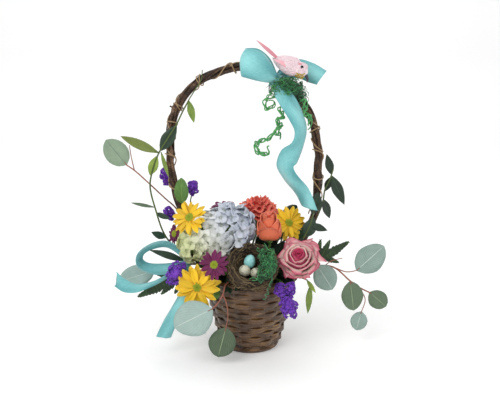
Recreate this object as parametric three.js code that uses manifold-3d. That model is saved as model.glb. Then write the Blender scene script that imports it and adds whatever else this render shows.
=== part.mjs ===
// Flower basket arrangement: a woven basket with a tall bent-vine handle, planted with flowers, foliage, a
// twig nest of eggs, a small ornamental bird and two ribbon bows.
// Millimetres, +Z up, origin at the centre of the foot.
import * as THREE from "three";
import { mergeVertices } from "three/addons/utils/BufferGeometryUtils.js";
import Module from "manifold-3d";

const wasm = await Module();
wasm.setup();

// ---------------------------------------------------------------- driving dimensions
const GAP = 0.35; // clearance between pieces that rest on each other
const BASKET = { height: 112, foot: 36, curl: 20, belly: 46, top: 73, wall: 4.5, stakes: 18, rows: 10,
  relief: 1.3 };
const RIM = { inner: 66.5, outer: 75.5, height: 7 };
const LINER = { top: 50.8, foot: 30, wall: 1.2, floor: 5, height: 111 };
const FOAM = { radius: 48.4, edge: 112, dome: 17, floor: 8 };
const HANDLE = { rod: 2.85, offset: 3.55, turns: 3, sides: 4, steps: 31 };
const BINDING = { radius: 7.9, pitch: 56, wide: 1.1, thick: 0.45, stepsPerTurn: 6 };
const RIBBON_THICK = 0.8;
const LEAF_SINK = 2; // how far a leaf starts back inside its stem

const NEST = { centre: [3, -75.5, 153.5], tilt: 38, radius: 36, depth: 32 };
const HYDRANGEA = { centre: [-49, -36, 187], semi: [50, 21, 31], tilt: 22, yaw: 14, florets: 26,
  floret: 13.8 };

// ---------------------------------------------------------------- small tools
const vec = (x, y, z) => new THREE.Vector3(x, y, z);
const from = (list) => new THREE.Vector3(...list);
const rad = THREE.MathUtils.degToRad;
const UP = vec(0, 0, 1);

// A repeatable stream of numbers from 0 to 1.
function seeded(seed) {
  let state = seed >>> 0;
  return () => {
    state = (Math.imul(state, 1664525) + 1013904223) >>> 0;
    return state / 4294967296;
  };
}

// A copy of a geometry with nothing but its points.
function bareOf(geometry) {
  const bare = geometry.clone();
  bare.deleteAttribute("normal");
  bare.deleteAttribute("uv");
  return bare;
}

// A closed three.js geometry as a solid, facing out whichever way its profile ran.
function solidOf(geometry) {
  const merged = mergeVertices(bareOf(geometry), 1e-3);
  const points = merged.attributes.position.array;
  const make = (order) =>
    new wasm.Manifold(new wasm.Mesh({ numProp: 3, vertProperties: points, triVerts: order }));
  const order = Uint32Array.from(merged.index.array);
  const made = make(order);
  if (made.volume() >= 0) return made;
  return make(order.map((_, i) => order[i % 3 === 1 ? i + 1 : i % 3 === 2 ? i - 1 : i]));
}

// Points and triangles as a solid.
function solidFrom(points, faces) {
  const geometry = new THREE.BufferGeometry().setFromPoints(points);
  geometry.setIndex(faces.flat());
  return solidOf(geometry);
}

// Several solids joined, keeping the one body they make and dropping any loose scrap.
function fuse(...solids) {
  const all = solids.flat();
  const joined = all.length > 1 ? wasm.Manifold.union(all) : all[0];
  return largest(joined);
}

function largest(solid) {
  const bodies = solid.decompose().filter((b) => b.volume() > 0);
  return bodies.reduce((best, b) => (b.volume() > best.volume() ? b : best));
}

// A solid cut back so that it stays a gap away from its neighbours.
function clearOf(solid, neighbours, gap = GAP) {
  let left = solid;
  for (const other of neighbours)
    for (const shift of [[gap, 0, 0], [-gap, 0, 0], [0, gap, 0], [0, -gap, 0], [0, 0, gap], [0, 0, -gap]])
      left = left.subtract(other.translate(shift));
  return largest(left);
}

// Rings of points joined into a closed skin; a ring of one point is a tip. The crossed side is split the
// other way, so that the two faces of a twisted strip have like triangles.
function loft(rings, crossed = -1) {
  const faces = [];
  let start = 0;
  for (let k = 1; k < rings.length; k++) {
    const low = rings[k - 1].length;
    const high = rings[k].length;
    const next = start + low;
    const count = Math.max(low, high);
    for (let i = 0; i < count; i++) {
      const j = (i + 1) % count;
      if (low === 1) faces.push([start, next + j, next + i]);
      else if (high === 1) faces.push([start + i, start + j, next]);
      else if (i === crossed) faces.push([start + i, start + j, next + i], [start + j, next + j, next + i]);
      else faces.push([start + i, start + j, next + j], [start + i, next + j, next + i]);
    }
    start = next;
  }
  const cap = (first, count, turned) => {
    for (let i = 1; i < count - 1; i++)
      faces.push(turned ? [first, first + i + 1, first + i] : [first, first + i, first + i + 1]);
  };
  cap(0, rings[0].length, true);
  cap(start, rings[rings.length - 1].length, false);
  return solidFrom(rings.flat(), faces);
}

// A skin over loops of [angle, radius, height], each zipped to the next by angle and the last to the first;
// a loop of one point is a pole.
function skin(loops) {
  const points = [];
  const rings = loops.map((loop) =>
    loop.map(([angle, r, z]) => [angle, points.push(vec(r * Math.cos(angle), r * Math.sin(angle), z)) - 1]));
  const faces = [];
  rings.forEach((low, n) => {
    const high = rings[(n + 1) % rings.length];
    if (low.length === 1 && high.length === 1) return;
    const pick = (ring, k) => ring[k % ring.length];
    const angleOf = (ring, k) => pick(ring, k)[0] + 2 * Math.PI * Math.floor(k / ring.length);
    const steps = (ring) => (ring.length === 1 ? 0 : ring.length);
    let i = 0;
    let j = 0;
    while (i < steps(low) || j < steps(high)) {
      const a = pick(low, i)[1];
      const b = pick(high, j)[1];
      const lowNext = j >= steps(high) || (i < steps(low) && angleOf(low, i + 1) <= angleOf(high, j + 1));
      if (lowNext) i++;
      else j++;
      faces.push([a, lowNext ? pick(low, i)[1] : pick(high, j)[1], b]);
    }
  });
  return solidFrom(points, faces);
}

// A round stem, rod or strand through the given points.
const STEM_STEP = 15;

function tube(points, radius, sides = 4, steps = 0) {
  const section = new THREE.Shape();
  for (let i = 0; i < sides; i++) {
    const a = (i / sides) * 2 * Math.PI;
    if (i) section.lineTo(radius * Math.cos(a), radius * Math.sin(a));
    else section.moveTo(radius, 0);
  }
  section.closePath();
  const extrudePath = new THREE.CatmullRomCurve3(points);
  const stride = steps || Math.ceil(extrudePath.getLength() / STEM_STEP);
  return solidOf(new THREE.ExtrudeGeometry(section, { steps: stride, extrudePath, bevelEnabled: false }));
}

// A leaf or petal: a thin blade with a raised rib, its outline given as [share of length, half width].
// sway bends it sideways, bow bends it towards the way it faces, fold lifts its edges.
function blade({ root, tip, facing, outline, thick = 1, fold = 0, bow = 0, sway = 0 }) {
  const along = tip.clone().sub(root);
  const length = along.length();
  along.normalize();
  const side = along.clone().cross(facing).normalize();
  const up = side.clone().cross(along);
  const rings = outline.map(([t, half]) => {
    const arch = 4 * t * (1 - t);
    const centre = root.clone().addScaledVector(along, t * length);
    centre.addScaledVector(up, bow * arch).addScaledVector(side, sway * arch);
    if (half === 0) return [centre];
    const narrow = outline.every(([, w]) => w < NARROW);
    const edge = (sign) =>
      centre.clone().addScaledVector(side, sign * half).addScaledVector(up, fold * half);
    const rib = (sign) => centre.clone().addScaledVector(up, (sign * thick) / 2);
    return narrow ? [edge(-1), rib(-1.4), edge(1)] : [edge(-1), rib(-1), edge(1), rib(1)];
  });
  return loft(rings);
}
const NARROW = 5; // leaves with a half width under this are three-sided

// The usual leaf outlines, for a leaf of half width 1 scaled by the caller.
const widen = (outline, half) => outline.map(([t, w]) => [t, w * half]);
const POINTED = [[0, 0.1], [0.18, 0.65], [0.45, 1], [0.78, 0.58], [1, 0]];
const ROUND = [[0, 0.08], [0.12, 0.6], [0.4, 1], [0.7, 0.88], [0.92, 0.44], [1, 0]];
const SLENDER = [[0, 0.15], [0.3, 0.9], [0.6, 1], [0.85, 0.5], [1, 0]];

// A leaf with saw teeth down both sides.
function toothed(half, teeth) {
  const outline = [[0, 0.5]];
  for (let k = 0; k < teeth; k++) {
    const t = (k + 0.9) / (teeth + 0.6);
    const reach = half * Math.sin(Math.PI * (0.22 + 0.72 * t)) + 0.6;
    outline.push([t - 0.3 / teeth, reach * 0.62], [t, reach]);
  }
  outline.push([1, 0]);
  return outline;
}

// A turned solid from [radius, height] pairs that start and end on the axis.
function turned(profile, sides) {
  return solidOf(new THREE.LatheGeometry(profile.map(([r, z]) => new THREE.Vector2(r, z)),
    sides).rotateX(Math.PI / 2));
}

function ball(radii, sides = 10, rings = 7) {
  return new THREE.SphereGeometry(1, sides, rings).rotateX(Math.PI / 2).scale(...radii);
}

// Where a bloom or ornament stands: its own axis Z turned to face a direction.
function stance(centre, facing, spin = 0) {
  const turn = new THREE.Quaternion().setFromUnitVectors(UP, facing.clone().normalize());
  turn.multiply(new THREE.Quaternion().setFromAxisAngle(UP, rad(spin)));
  return new THREE.Matrix4().compose(centre, turn, vec(1, 1, 1));
}

const placed = (solid, matrix) => solid.transform(matrix.elements);

// ---------------------------------------------------------------- the model
const arrangement = new THREE.Group();
const [holder, flowers, foliage, ornaments] = ["holder", "flowers", "foliage", "ornaments"].map((name) => {
  const group = new THREE.Group();
  group.name = name;
  arrangement.add(group);
  return group;
});
const solids = {};

const COLOURS = {
  wicker: [0x4a3222, 0.75],
  vine: [0x3d2a20, 0.8],
  cane: [0xa98a64, 0.7],
  liner: [0x2c3a2c, 0.5],
  foam: [0x3e5a34, 0.95],
  stem: [0x4f7a34, 0.6],
  hydrangea: [0xe4e8ee, 0.7],
  rose: [0xe27f98, 0.55],
  coral: [0xf07a58, 0.55],
  carnation: [0xee5a4c, 0.65],
  yellow: [0xf6c21c, 0.6],
  magenta: [0xa3206f, 0.6],
  statice: [0x5b2bb0, 0.7],
  eucalyptus: [0x9db8aa, 0.6],
  fern: [0x26401f, 0.55],
  dark_leaf: [0x24392a, 0.4],
  light_leaf: [0x7f9a3a, 0.5],
  nest: [0x5a4632, 0.95],
  moss: [0x2f8a42, 0.8],
  blue_egg: [0x9fdcda, 0.4],
  speckled_egg: [0xd3cfbb, 0.45],
  bird: [0xeebfc8, 0.8],
  beak: [0x5c5c62, 0.4],
  ribbon: [0x6fc3c1, 0.6],
};

// Each sub-part is one named mesh with its own material, set in its place by a matrix where it is made
// upright about its own axis. Its solid in the shared frame is kept for what has to stay clear of it.
const UPRIGHT = new THREE.Matrix4();

function piece(group, name, solid, colour, place = UPRIGHT) {
  const mesh = solid.getMesh();
  const geometry = new THREE.BufferGeometry();
  geometry.setAttribute("position", new THREE.BufferAttribute(Float32Array.from(mesh.vertProperties), 3));
  geometry.setIndex(new THREE.BufferAttribute(Uint32Array.from(mesh.triVerts), 1));
  geometry.computeVertexNormals();
  const [color, roughness] = COLOURS[colour];
  const material = new THREE.MeshStandardMaterial({ color, roughness, metalness: 0, flatShading: true });
  const made = new THREE.Mesh(geometry, material);
  made.name = name;
  made.applyMatrix4(place);
  solids[name] = placed(solid, place);
  group.add(made);
}

// ---------------------------------------------------------------- holder
// The side of the basket: straight flare with a rounded foot.
function sideRadius(z) {
  const flare = BASKET.belly + (BASKET.top - BASKET.belly) * (z / 115);
  const curl = Math.max(0, 1 - z / BASKET.curl);
  return flare - (BASKET.belly - BASKET.foot) * curl * curl;
}

// Flat reeds pass over and under the upright stakes, in turn from row to row.
function wovenShell() {
  const around = BASKET.stakes * 2;
  const rowHeight = (BASKET.height - 4) / BASKET.rows;
  const ring = (radiusAt, z) =>
    Array.from({ length: around }, (_, i) => {
      const angle = (i / around) * 2 * Math.PI;
      const r = radiusAt(i);
      return vec(r * Math.cos(angle), r * Math.sin(angle), z);
    });
  const rings = [[vec(0, 0, 0)], ring(() => BASKET.foot, 0)];
  for (let row = 0; row < BASKET.rows; row++) {
    const z = 4 + rowHeight * (row + 0.5);
    const over = (i) => (i % 2 ? -0.4 : (i / 2 + row) % 2 ? BASKET.relief : -BASKET.relief);
    rings.push(ring((i) => sideRadius(z) + over(i), z));
  }
  rings.push(ring(() => sideRadius(BASKET.height), BASKET.height));
  const inside = (z) => ring(() => sideRadius(z) - BASKET.wall, z);
  rings.push(inside(BASKET.height), inside(22), ring(() => BASKET.foot - 4, 4.5), [vec(0, 0, 4.5)]);
  return loft(rings);
}

function rimHoop() {
  const low = BASKET.height + GAP;
  const high = low + RIM.height;
  const points = [
    [RIM.inner, low],
    [RIM.outer - 0.8, low],
    [RIM.outer, (low + high) / 2],
    [RIM.outer - 2, high],
    [RIM.inner + 0.6, high],
    [RIM.inner, low],
  ];
  return turned(points, 26);
}

function linerRadius(z) {
  return LINER.foot + (LINER.top - LINER.foot) * ((z - LINER.floor) / LINER.height);
}

function liner() {
  const low = LINER.floor;
  const high = low + LINER.height;
  const inner = (z) => [linerRadius(z) - LINER.wall, z];
  return turned([[0, low], [LINER.foot, low], [LINER.top, high], inner(high), inner(low + 1.5),
    [0, low + 1.5]], 20);
}

const foamTop = (radius) => FOAM.edge + FOAM.dome * (1 - (radius / FOAM.radius) ** 2);

function foamBlock() {
  const inside = (z) => linerRadius(z) - LINER.wall - GAP;
  const profile = [[0, FOAM.floor], [inside(FOAM.floor), FOAM.floor], [FOAM.radius - 0.2, FOAM.edge]];
  for (const r of [42, 22]) profile.push([r, foamTop(r)]);
  profile.push([0, foamTop(0)]);
  return turned(profile, 12);
}

// The handle's arch, foot to foot; both feet are tucked down inside the basket wall.
const HANDLE_LINE = new THREE.CatmullRomCurve3(
  [
    [50.2, 70],
    [57.8, 115],
    [79, 160],
    [97, 213],
    [101.5, 265],
    [98, 322],
    [84, 366],
    [33, 411],
    [-12, 427],
    [-57, 417],
    [-92, 391],
    [-113, 350],
    [-117.5, 300],
    [-113, 255],
    [-100, 205],
    [-78, 155],
    [-57.8, 115],
    [-50.2, 70],
  ].map(([x, z]) => vec(x, 0, z)),
);
const HANDLE_LENGTH = HANDLE_LINE.getLength();

// A point round the handle's centre line: u along it, angle about it, distance from it.
function aroundHandle(u, angle, distance) {
  const centre = HANDLE_LINE.getPointAt(u);
  const normal = HANDLE_LINE.getTangentAt(u).cross(vec(0, 1, 0)).normalize();
  centre.addScaledVector(normal, distance * Math.cos(angle));
  return centre.add(vec(0, distance * Math.sin(angle), 0));
}

function handleRod(index) {
  const points = [];
  for (let k = 0; k <= HANDLE.steps; k++) {
    const u = k / HANDLE.steps;
    const angle = 2 * Math.PI * (index / 3 + HANDLE.turns * u);
    points.push(aroundHandle(u, angle, HANDLE.offset));
  }
  return tube(points, HANDLE.rod, HANDLE.sides, HANDLE.steps);
}

// A flat cane wound round the rods, from above one shoulder of the basket to above the other.
function caneBinding() {
  const start = 0.17;
  const end = 0.83;
  const turns = ((end - start) * HANDLE_LENGTH) / BINDING.pitch;
  const steps = Math.round(turns * BINDING.stepsPerTurn);
  const rings = [];
  for (let k = 0; k <= steps; k++) {
    const share = k / steps;
    const u = start + (end - start) * share;
    const angle = 2 * Math.PI * turns * share;
    const spread = BINDING.wide / HANDLE_LENGTH;
    rings.push([
      aroundHandle(u - spread, angle, BINDING.radius),
      aroundHandle(u, angle, BINDING.radius + 2 * BINDING.thick),
      aroundHandle(u + spread, angle, BINDING.radius),
    ]);
  }
  return loft(rings);
}

// ---------------------------------------------------------------- stems in the foam
const stemHoles = [];

// Where a stem enters the foam: an angle from +X and a distance from the middle.
function entry(angle, radius = 43) {
  const a = rad(angle);
  return vec(radius * Math.cos(a), radius * Math.sin(a), foamTop(radius));
}

// A stem from its hole in the foam through the given points. It keeps straight inside the hole.
function planted(mouth, route, radius = 1.5, sides = 4) {
  const way = route[0].clone().sub(mouth).normalize().add(UP).normalize();
  const foot = mouth.clone().addScaledVector(way, -15);
  const middle = mouth.clone().addScaledVector(way, -7);
  const out = mouth.clone().addScaledVector(way, 3);
  stemHoles.push(tube([foot.clone().addScaledVector(way, -GAP), out], radius + 1.1, sides, 1));
  return tube([foot, middle, mouth, out, ...route], radius, sides);
}

// ---------------------------------------------------------------- blooms, each on its own axis Z
// A daisy's petals as one skin: a lower star, a valley, then an upper star turned by half
// a petal, round a hub.
const HUB = { hole: 3, low: -1.2, high: 2.2 };

function daisyPetals(radius, count, cup) {
  const step = (2 * Math.PI) / count;
  const star = (reach, low, high, turn) => {
    const loop = [];
    for (let k = 0; k < count; k++) {
      const size = reach * (k % 3 === 1 ? 0.94 : 1);
      for (const [shift, share] of [[-0.5, 0.42], [-0.26, 0.84], [0, 1], [0.26, 0.86]])
        loop.push([(k + turn + shift) * step, size * share, low + (high - low) * share * share]);
    }
    return loop;
  };
  const plain = (r, z) => Array.from({ length: count }, (_, k) => [k * step, r, z]);
  return skin([
    plain(HUB.hole, HUB.low),
    star(radius, 0, cup, 0),
    plain(6.5, 0.4),
    star(radius * 0.86, 1.4, 1.4 + 1.5 * cup, 0.5),
    plain(HUB.hole, HUB.high),
  ]);
}

// The daisy's green heart: domed eye above the petals, calyx below them, joined through the hub.
function daisyHeart(eye, radius, cup) {
  const neck = 2.3;
  const over = HUB.high + GAP;
  const edge = over + ((1.5 * cup) / (0.8 * radius)) * (eye - neck);
  const under = HUB.low - GAP;
  const profile = [[0, -7], [4.2, under - 0.8], [4.2, under], [neck, under], [neck, over]];
  return turned([...profile, [eye, edge], [eye * 0.7, edge + 2], [0, edge + 2.4]], 6);
}

// Layers of petals as one skin, outermost first: each tier's outer face rises to the edges of its petals,
// then drops inside to a valley. A petal overlaps the next, so its edge stands further out at one end.
const PETAL_EDGE = [[-0.46, 0.9, -2.4], [-0.2, 1, 1], [0.16, 1.05, 1], [0.44, 1.04, -1.8]];

function petalTiers(under, tiers, crown) {
  const loops = [...under];
  tiers.forEach(({ petals, edge, valley }, n) => {
    const step = (2 * Math.PI) / petals;
    const turn = n * 0.7;
    const loop = [];
    for (let k = 0; k < petals; k++)
      for (const [shift, reach, rise] of PETAL_EDGE)
        loop.push([turn + (k + shift) * step, edge[0] * reach, edge[1] + rise]);
    loops.push(loop);
    if (valley) loops.push(loopOf(7, () => valley, turn - 0.4));
  });
  loops.push([[0, 0, crown]]);
  return skin(loops);
}

function rosePetals() {
  return petalTiers(
    [[[0, 0, -18]], loopOf(8, () => [10, -17], 0)],
    [
      { petals: 5, edge: [32.5, -3], valley: [23, -9] },
      { petals: 5, edge: [28, 5], valley: [18.5, -4] },
      { petals: 4, edge: [22, 10.5], valley: [13.5, 1] },
      { petals: 3, edge: [15.5, 14], valley: [8.5, 7] },
      { petals: 3, edge: [9, 15.5], valley: [4.2, 10] },
    ],
    13,
  );
}

// The half-open bud: broad outer petals hugging a tight inner whorl.
function budPetals() {
  return petalTiers(
    [[[0, 0, -22]], loopOf(6, () => [8, -20], 0), loopOf(8, () => [17, -8], 0)],
    [
      { petals: 3, edge: [18, 9], valley: [13, 1] },
      { petals: 3, edge: [13.5, 18], valley: [8.5, 10] },
      { petals: 2, edge: [7, 23.5], valley: [3, 17] },
    ],
    18,
  );
}

// A carnation: ruffled tiers, each a toothed edge above a valley, under a crown of the same.
const CARNATION_TIERS = [
  { edge: [31, -2], valley: [19, 1] },
  { edge: [29, 4], valley: [16, 5] },
  { edge: [24, 9.5], valley: [12, 9] },
  { edge: [17.5, 13.5], valley: [7, 11] },
  { edge: [10, 15.5], valley: [3.5, 12] },
];

function carnationPetals() {
  const random = seeded(11);
  const loops = [[[0, 0, -12]], loopOf(10, () => [4.5, -11], 0)];
  CARNATION_TIERS.forEach(({ edge, valley }, n) => {
    const teeth = n < 3 ? 22 : 14;
    const ruffle = (k) => [edge[0] * (k % 2 ? 1.03 : 0.88) * (0.95 + 0.1 * random()),
      edge[1] + (k % 2 ? 1.6 : -1.6)];
    loops.push(loopOf(teeth, ruffle, n * 0.13), loopOf(8, () => valley, n * 0.2));
  });
  loops.push([[0, 0, 13]]);
  return skin(loops);
}

// A loop of points evenly spaced by angle, with radius and height from a rule.
function loopOf(count, rule, turn) {
  return Array.from({ length: count }, (_, k) => [turn + (k / count) * 2 * Math.PI, ...rule(k)]);
}

// A small floret: a star of lobes whose back narrows to a root sunk in what it grows from.
function floret(centre, out, spin, radius, lobes, cup, depth) {
  const points = [vec(0, 0, -depth), vec(0, 0, cup * 0.2)];
  const ring = lobes * 2;
  for (let i = 0; i < ring; i++) {
    const angle = (i / ring) * 2 * Math.PI;
    const notch = i % 2 === 1;
    const r = notch ? radius * 0.58 : radius;
    points.push(vec(r * Math.cos(angle), r * Math.sin(angle), notch ? 0 : cup));
  }
  const faces = [];
  for (let i = 0; i < ring; i++) {
    const a = 2 + i;
    const b = 2 + ((i + 1) % ring);
    faces.push([0, b, a], [1, a, b]);
  }
  return placed(solidFrom(points, faces), stance(centre, out, spin));
}

// Evenly spread directions over a ball, from the top down to a lowest height.
function spread(count, lowest) {
  const golden = Math.PI * (3 - Math.sqrt(5));
  return Array.from({ length: count }, (_, k) => {
    const z = 1 - ((1 - lowest) * (k + 0.5)) / count;
    const r = Math.sqrt(1 - z * z);
    return vec(r * Math.cos(golden * k), r * Math.sin(golden * k), z);
  });
}

// The hydrangea: four-lobed florets over the whole of a mop head, a core inside them.
function hydrangeaHead() {
  const { centre, semi, tilt, yaw, florets, floret: size } = HYDRANGEA;
  const random = seeded(5);
  const turn = new THREE.Matrix4().makeRotationFromEuler(new THREE.Euler(0, rad(-tilt), rad(yaw), "ZYX"));
  turn.setPosition(...centre);
  const parts = [solidOf(ball(semi, 8, 6).applyMatrix4(turn))];
  for (const way of spread(florets, -0.93)) {
    const place = vec(way.x * semi[0], way.y * semi[1], way.z * semi[2]);
    const out = vec(way.x / semi[0], way.y / semi[1], way.z / semi[2]).normalize();
    place.addScaledVector(out, 3.4 + 2 * random()).applyMatrix4(turn);
    out.transformDirection(turn);
    parts.push(floret(place, out, 90 * random(), size * (0.9 + 0.2 * random()), 4, 2, 10));
  }
  return fuse(parts);
}

// A statice head: an egg-shaped cluster whose skin bristles with small papery cups.
function staticeHead(centre, axis, semi, detail, seed) {
  return bristling(stance(from(centre), from(axis)), semi, detail, seed);
}

// An egg-shaped tuft with every third point of its skin standing out.
function bristling(where, semi, detail, seed) {
  const random = seeded(seed);
  const geometry = mergeVertices(bareOf(new THREE.IcosahedronGeometry(1, detail)), 1e-3);
  const position = geometry.attributes.position;
  for (let i = 0; i < position.count; i++) {
    const swell = i % 3 === 0 ? 1.32 : 0.84 + 0.3 * random();
    position.setXYZ(i, position.getX(i) * swell, position.getY(i) * swell, position.getZ(i) * swell);
  }
  return solidOf(geometry.scale(...semi).applyMatrix4(where));
}

// ---------------------------------------------------------------- flowers in place
const DAISIES = [
  { name: "yellow_daisy_upper", colour: "yellow", at: [-87, -51, 217], face: [-0.3, -0.75, 0.6],
    radius: 26, count: 10, eye: 5.5,
    mouth: [172, 28], route: [[-50, -1, 143], [-74, -3, 188], [-84, -16, 212], [-86, -34, 216]] },
  { name: "yellow_daisy_lower", colour: "yellow", at: [-76, -76, 120], face: [-0.12, -0.97, 0.18],
    radius: 32, count: 11, eye: 6,
    mouth: [233, 43], route: [[-44, -48, 130], [-62, -58, 127], [-72, -64, 122]] },
  { name: "yellow_daisy_right", colour: "yellow", at: [58, -1, 194], face: [0.3, -0.8, 0.5], radius: 27,
    count: 10, eye: 5.5,
    mouth: [8, 27], route: [[34, 6, 145], [47, 11, 172]] },
  { name: "magenta_daisy_front", colour: "magenta", at: [-51, -87, 158], face: [-0.05, -0.94, 0.33],
    radius: 20.5, count: 9, eye: 5,
    mouth: [244, 43], route: [[-30, -54, 130], [-44, -70, 146]] },
  { name: "magenta_daisy_top", colour: "magenta", at: [-42, 30, 211], face: [-0.15, -0.1, 1], radius: 20,
    count: 8, eye: 5,
    mouth: [125, 24], route: [[-24, 26, 160], [-37, 30, 188]] },
  { name: "magenta_daisy_back", colour: "magenta", at: [47, 39, 198], face: [0.1, 0.05, 1], radius: 15,
    count: 8, eye: 4.5,
    mouth: [42, 24], route: [[28, 26, 155], [42, 37, 178]] },
  { name: "magenta_daisy_left", colour: "magenta", at: [-111, -23, 184], face: [-0.75, -0.62, 0.2],
    radius: 15, count: 8, eye: 4.5,
    mouth: [191, 43], route: [[-58, -9, 142], [-86, -15, 162], [-101, -17, 177]] },
];

function plantDaisy({ name, colour, at, face, radius, count, eye, mouth, route }) {
  const where = stance(from(at), from(face), radius * 7);
  const cup = radius * 0.16;
  piece(flowers, `${name}_petals`, daisyPetals(radius, count, cup), colour, where);
  const neck = vec(0, 0, -6).applyMatrix4(where);
  const below = vec(0, 0, -11).applyMatrix4(where);
  const stem = planted(entry(...mouth), [...route.map(from), below, neck], 1.5);
  const leaves = (DAISY_LEAVES[name] ?? []).map(leafBlade);
  piece(flowers, `${name}_stem`, fuse(placed(daisyHeart(eye, radius, cup), where), stem, leaves), "stem");
}

// A leaf from plain lists: root, tip, the way it faces, half width and outline.
function leafBlade({ root, tip, face = [0, -1, 0], half, shape = POINTED, bow = 0, fold = 0.15, sway = 0,
  thick = 1 }) {
  const foot = from(root).lerp(from(tip), -LEAF_SINK / from(root).distanceTo(from(tip)));
  return blade({ root: foot, tip: from(tip), facing: from(face), outline: widen(shape, half), bow, fold,
    sway, thick });
}

const LOBED = [[0, 0.12], [0.2, 0.7], [0.3, 0.4], [0.5, 1], [0.6, 0.5], [0.78, 0.7], [1, 0]];
const DAISY_LEAVES = {
  yellow_daisy_upper: [
    { root: [-84, -16, 212], tip: [-102, -15, 232], half: 1.8, shape: SLENDER },
    { root: [-101, -15, 229], tip: [-101, -15, 268], half: 10.5, shape: ROUND, fold: 0.3 },
  ],
  yellow_daisy_lower: [
    { root: [-58, -56, 127], tip: [-47, -82, 104], half: 8, shape: LOBED, face: [0.3, -0.5, 0.8] },
  ],
};

function plantFlowers() {
  DAISIES.forEach(plantDaisy);

  piece(flowers, "hydrangea_florets", hydrangeaHead(), "hydrangea");
  const headRoot = [vec(-30, -24, 140), vec(-36, -33, 148)];
  const hydrangeaStem = planted(entry(211, 22), headRoot, 2.2);
  piece(flowers, "hydrangea_stem", clearOf(hydrangeaStem, [solids.hydrangea_florets]), "stem");

  const roseAt = stance(vec(70.5, -60, 160), vec(-0.02, -0.68, 0.73), 20);
  piece(flowers, "rose_petals", rosePetals(), "rose", roseAt);
  const sepals = [];
  for (let k = 0; k < 3; k++) {
    const angle = rad(120 * k);
    const out = vec(Math.cos(angle), Math.sin(angle), 0);
    const root = out.clone().multiplyScalar(2).add(vec(0, 0, -21));
    const tip = out.clone().multiplyScalar(15).add(vec(0, 0, -22.5));
    sepals.push(blade({ root, tip, facing: UP, outline: widen(SLENDER, 2.4) }));
  }
  const hip = turned([[0, -26], [2.6, -25.4], [4.6, -21.5], [3, -18.4], [0, -18.4]], 7);
  const rosePlace = (x, y, z) => vec(x, y, z).applyMatrix4(roseAt);
  const roseStem = planted(entry(322, 30), [vec(40, -27, 132), rosePlace(0, 0, -31), rosePlace(0, 0, -25)],
    2);
  piece(flowers, "rose_stem", fuse(placed(fuse(hip, sepals), roseAt), roseStem), "stem");

  const budAt = stance(vec(28, -34, 199), vec(-0.04, -0.2, 0.97), 30);
  piece(flowers, "coral_rosebud_petals", budPetals(), "coral", budAt);
  const budHip = turned([[0, -28], [2.2, -27.5], [4.4, -24], [0, -22.4]], 7);
  const budPlace = (x, y, z) => vec(x, y, z).applyMatrix4(budAt);
  const budStem = planted(entry(325, 17), [vec(24, -20, 150), budPlace(0, 0, -32), budPlace(0, 0, -27)], 1.8);
  const budSepals = [0, 1, 2].map((k) => {
    const out = vec(Math.cos(2.1 * k), Math.sin(2.1 * k), 0);
    const root = out.clone().multiplyScalar(2).add(vec(0, 0, -25));
    const tip = out.clone().multiplyScalar(16).add(vec(0, 0, -23));
    return blade({ root, tip, facing: UP, outline: widen(SLENDER, 2), bow: -1 });
  });
  piece(flowers, "coral_rosebud_stem", fuse(placed(fuse(budHip, budSepals), budAt), budStem), "stem");

  const carnationAt = stance(vec(12, 24, 209), vec(0, -0.16, 1), 0);
  piece(flowers, "carnation_petals", carnationPetals(), "carnation", carnationAt);
  const cup = turned([[0, -29], [2.4, -28.5], [4.4, -24], [4.4, -14], [0, -12 - GAP]], 8);
  const cupPlace = (z) => vec(0, 0, z).applyMatrix4(carnationAt);
  const carnationStem = planted(entry(82, 14), [vec(3, 18, 150), cupPlace(-33), cupPlace(-28)], 1.6);
  piece(flowers, "carnation_stem", fuse(placed(cup, carnationAt), carnationStem), "stem");
}

// ---------------------------------------------------------------- statice sprays
function plantStatice() {
  const left = staticeHead([-108, -64, 137], [0.45, 0, 0.9], [12, 10, 18], 2, 21);
  const leftStem = planted(entry(222), [vec(-60, -50, 128), vec(-84, -60, 127), vec(-106, -63, 134)]);
  piece(flowers, "statice_left", fuse(left, leftStem), "statice");

  const low = staticeHead([56, -84, 95], [-0.3, 0, 0.95], [13, 9, 20], 2, 31);
  const lowLeft = staticeHead([43.5, -85, 119], [0, 0, 1], [6, 6, 8], 1, 32);
  const lowRight = staticeHead([58, -84, 120], [0, 0, 1], [6, 6, 8], 1, 33);
  const lowStem = planted(entry(300), [vec(38, -54, 124), vec(48, -76, 124), vec(51, -84, 110),
    vec(54, -84, 98)], 1.4);
  const fork = (tip) => twig([[50, -82, 113], [(50 + tip[0]) / 2, -85, 115], tip], 1);
  const forks = [fork([43.5, -85, 119]), fork([58, -84, 120])];
  piece(flowers, "statice_low_right", fuse(low, lowLeft, lowRight, lowStem, forks), "statice");

  const heads = [
    staticeHead([-126, 22, 262], [-0.2, 0, 1], [8.5, 8, 13], 1, 41),
    staticeHead([-87, 22, 243], [0.2, 0, 1], [6.5, 6.5, 9], 1, 42),
    staticeHead([-124, 22, 203], [-0.4, 0, 0.9], [7, 6.5, 9], 1, 43),
  ];
  const mainStem = planted(entry(138), [vec(-64, 26, 150), vec(-92, 24, 200), vec(-106, 22, 228),
    vec(-125, 22, 258)]);
  const sides = [
    twig([[-92, 24, 200], [-91, 23, 222], [-87, 22, 240]], 1),
    twig([[-90, 24, 196], [-108, 24, 198], [-122, 22, 203]], 1),
  ];
  piece(flowers, "statice_behind_handle", fuse(heads, mainStem, sides), "statice");
}

// ---------------------------------------------------------------- foliage
function spray(name, colour, stems, leaves) {
  piece(foliage, name, fuse(stems, leaves.map(leafBlade)), colour);
}

const twig = (points, radius = 0.9) => tube(points.map(from), radius, 3);

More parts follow.
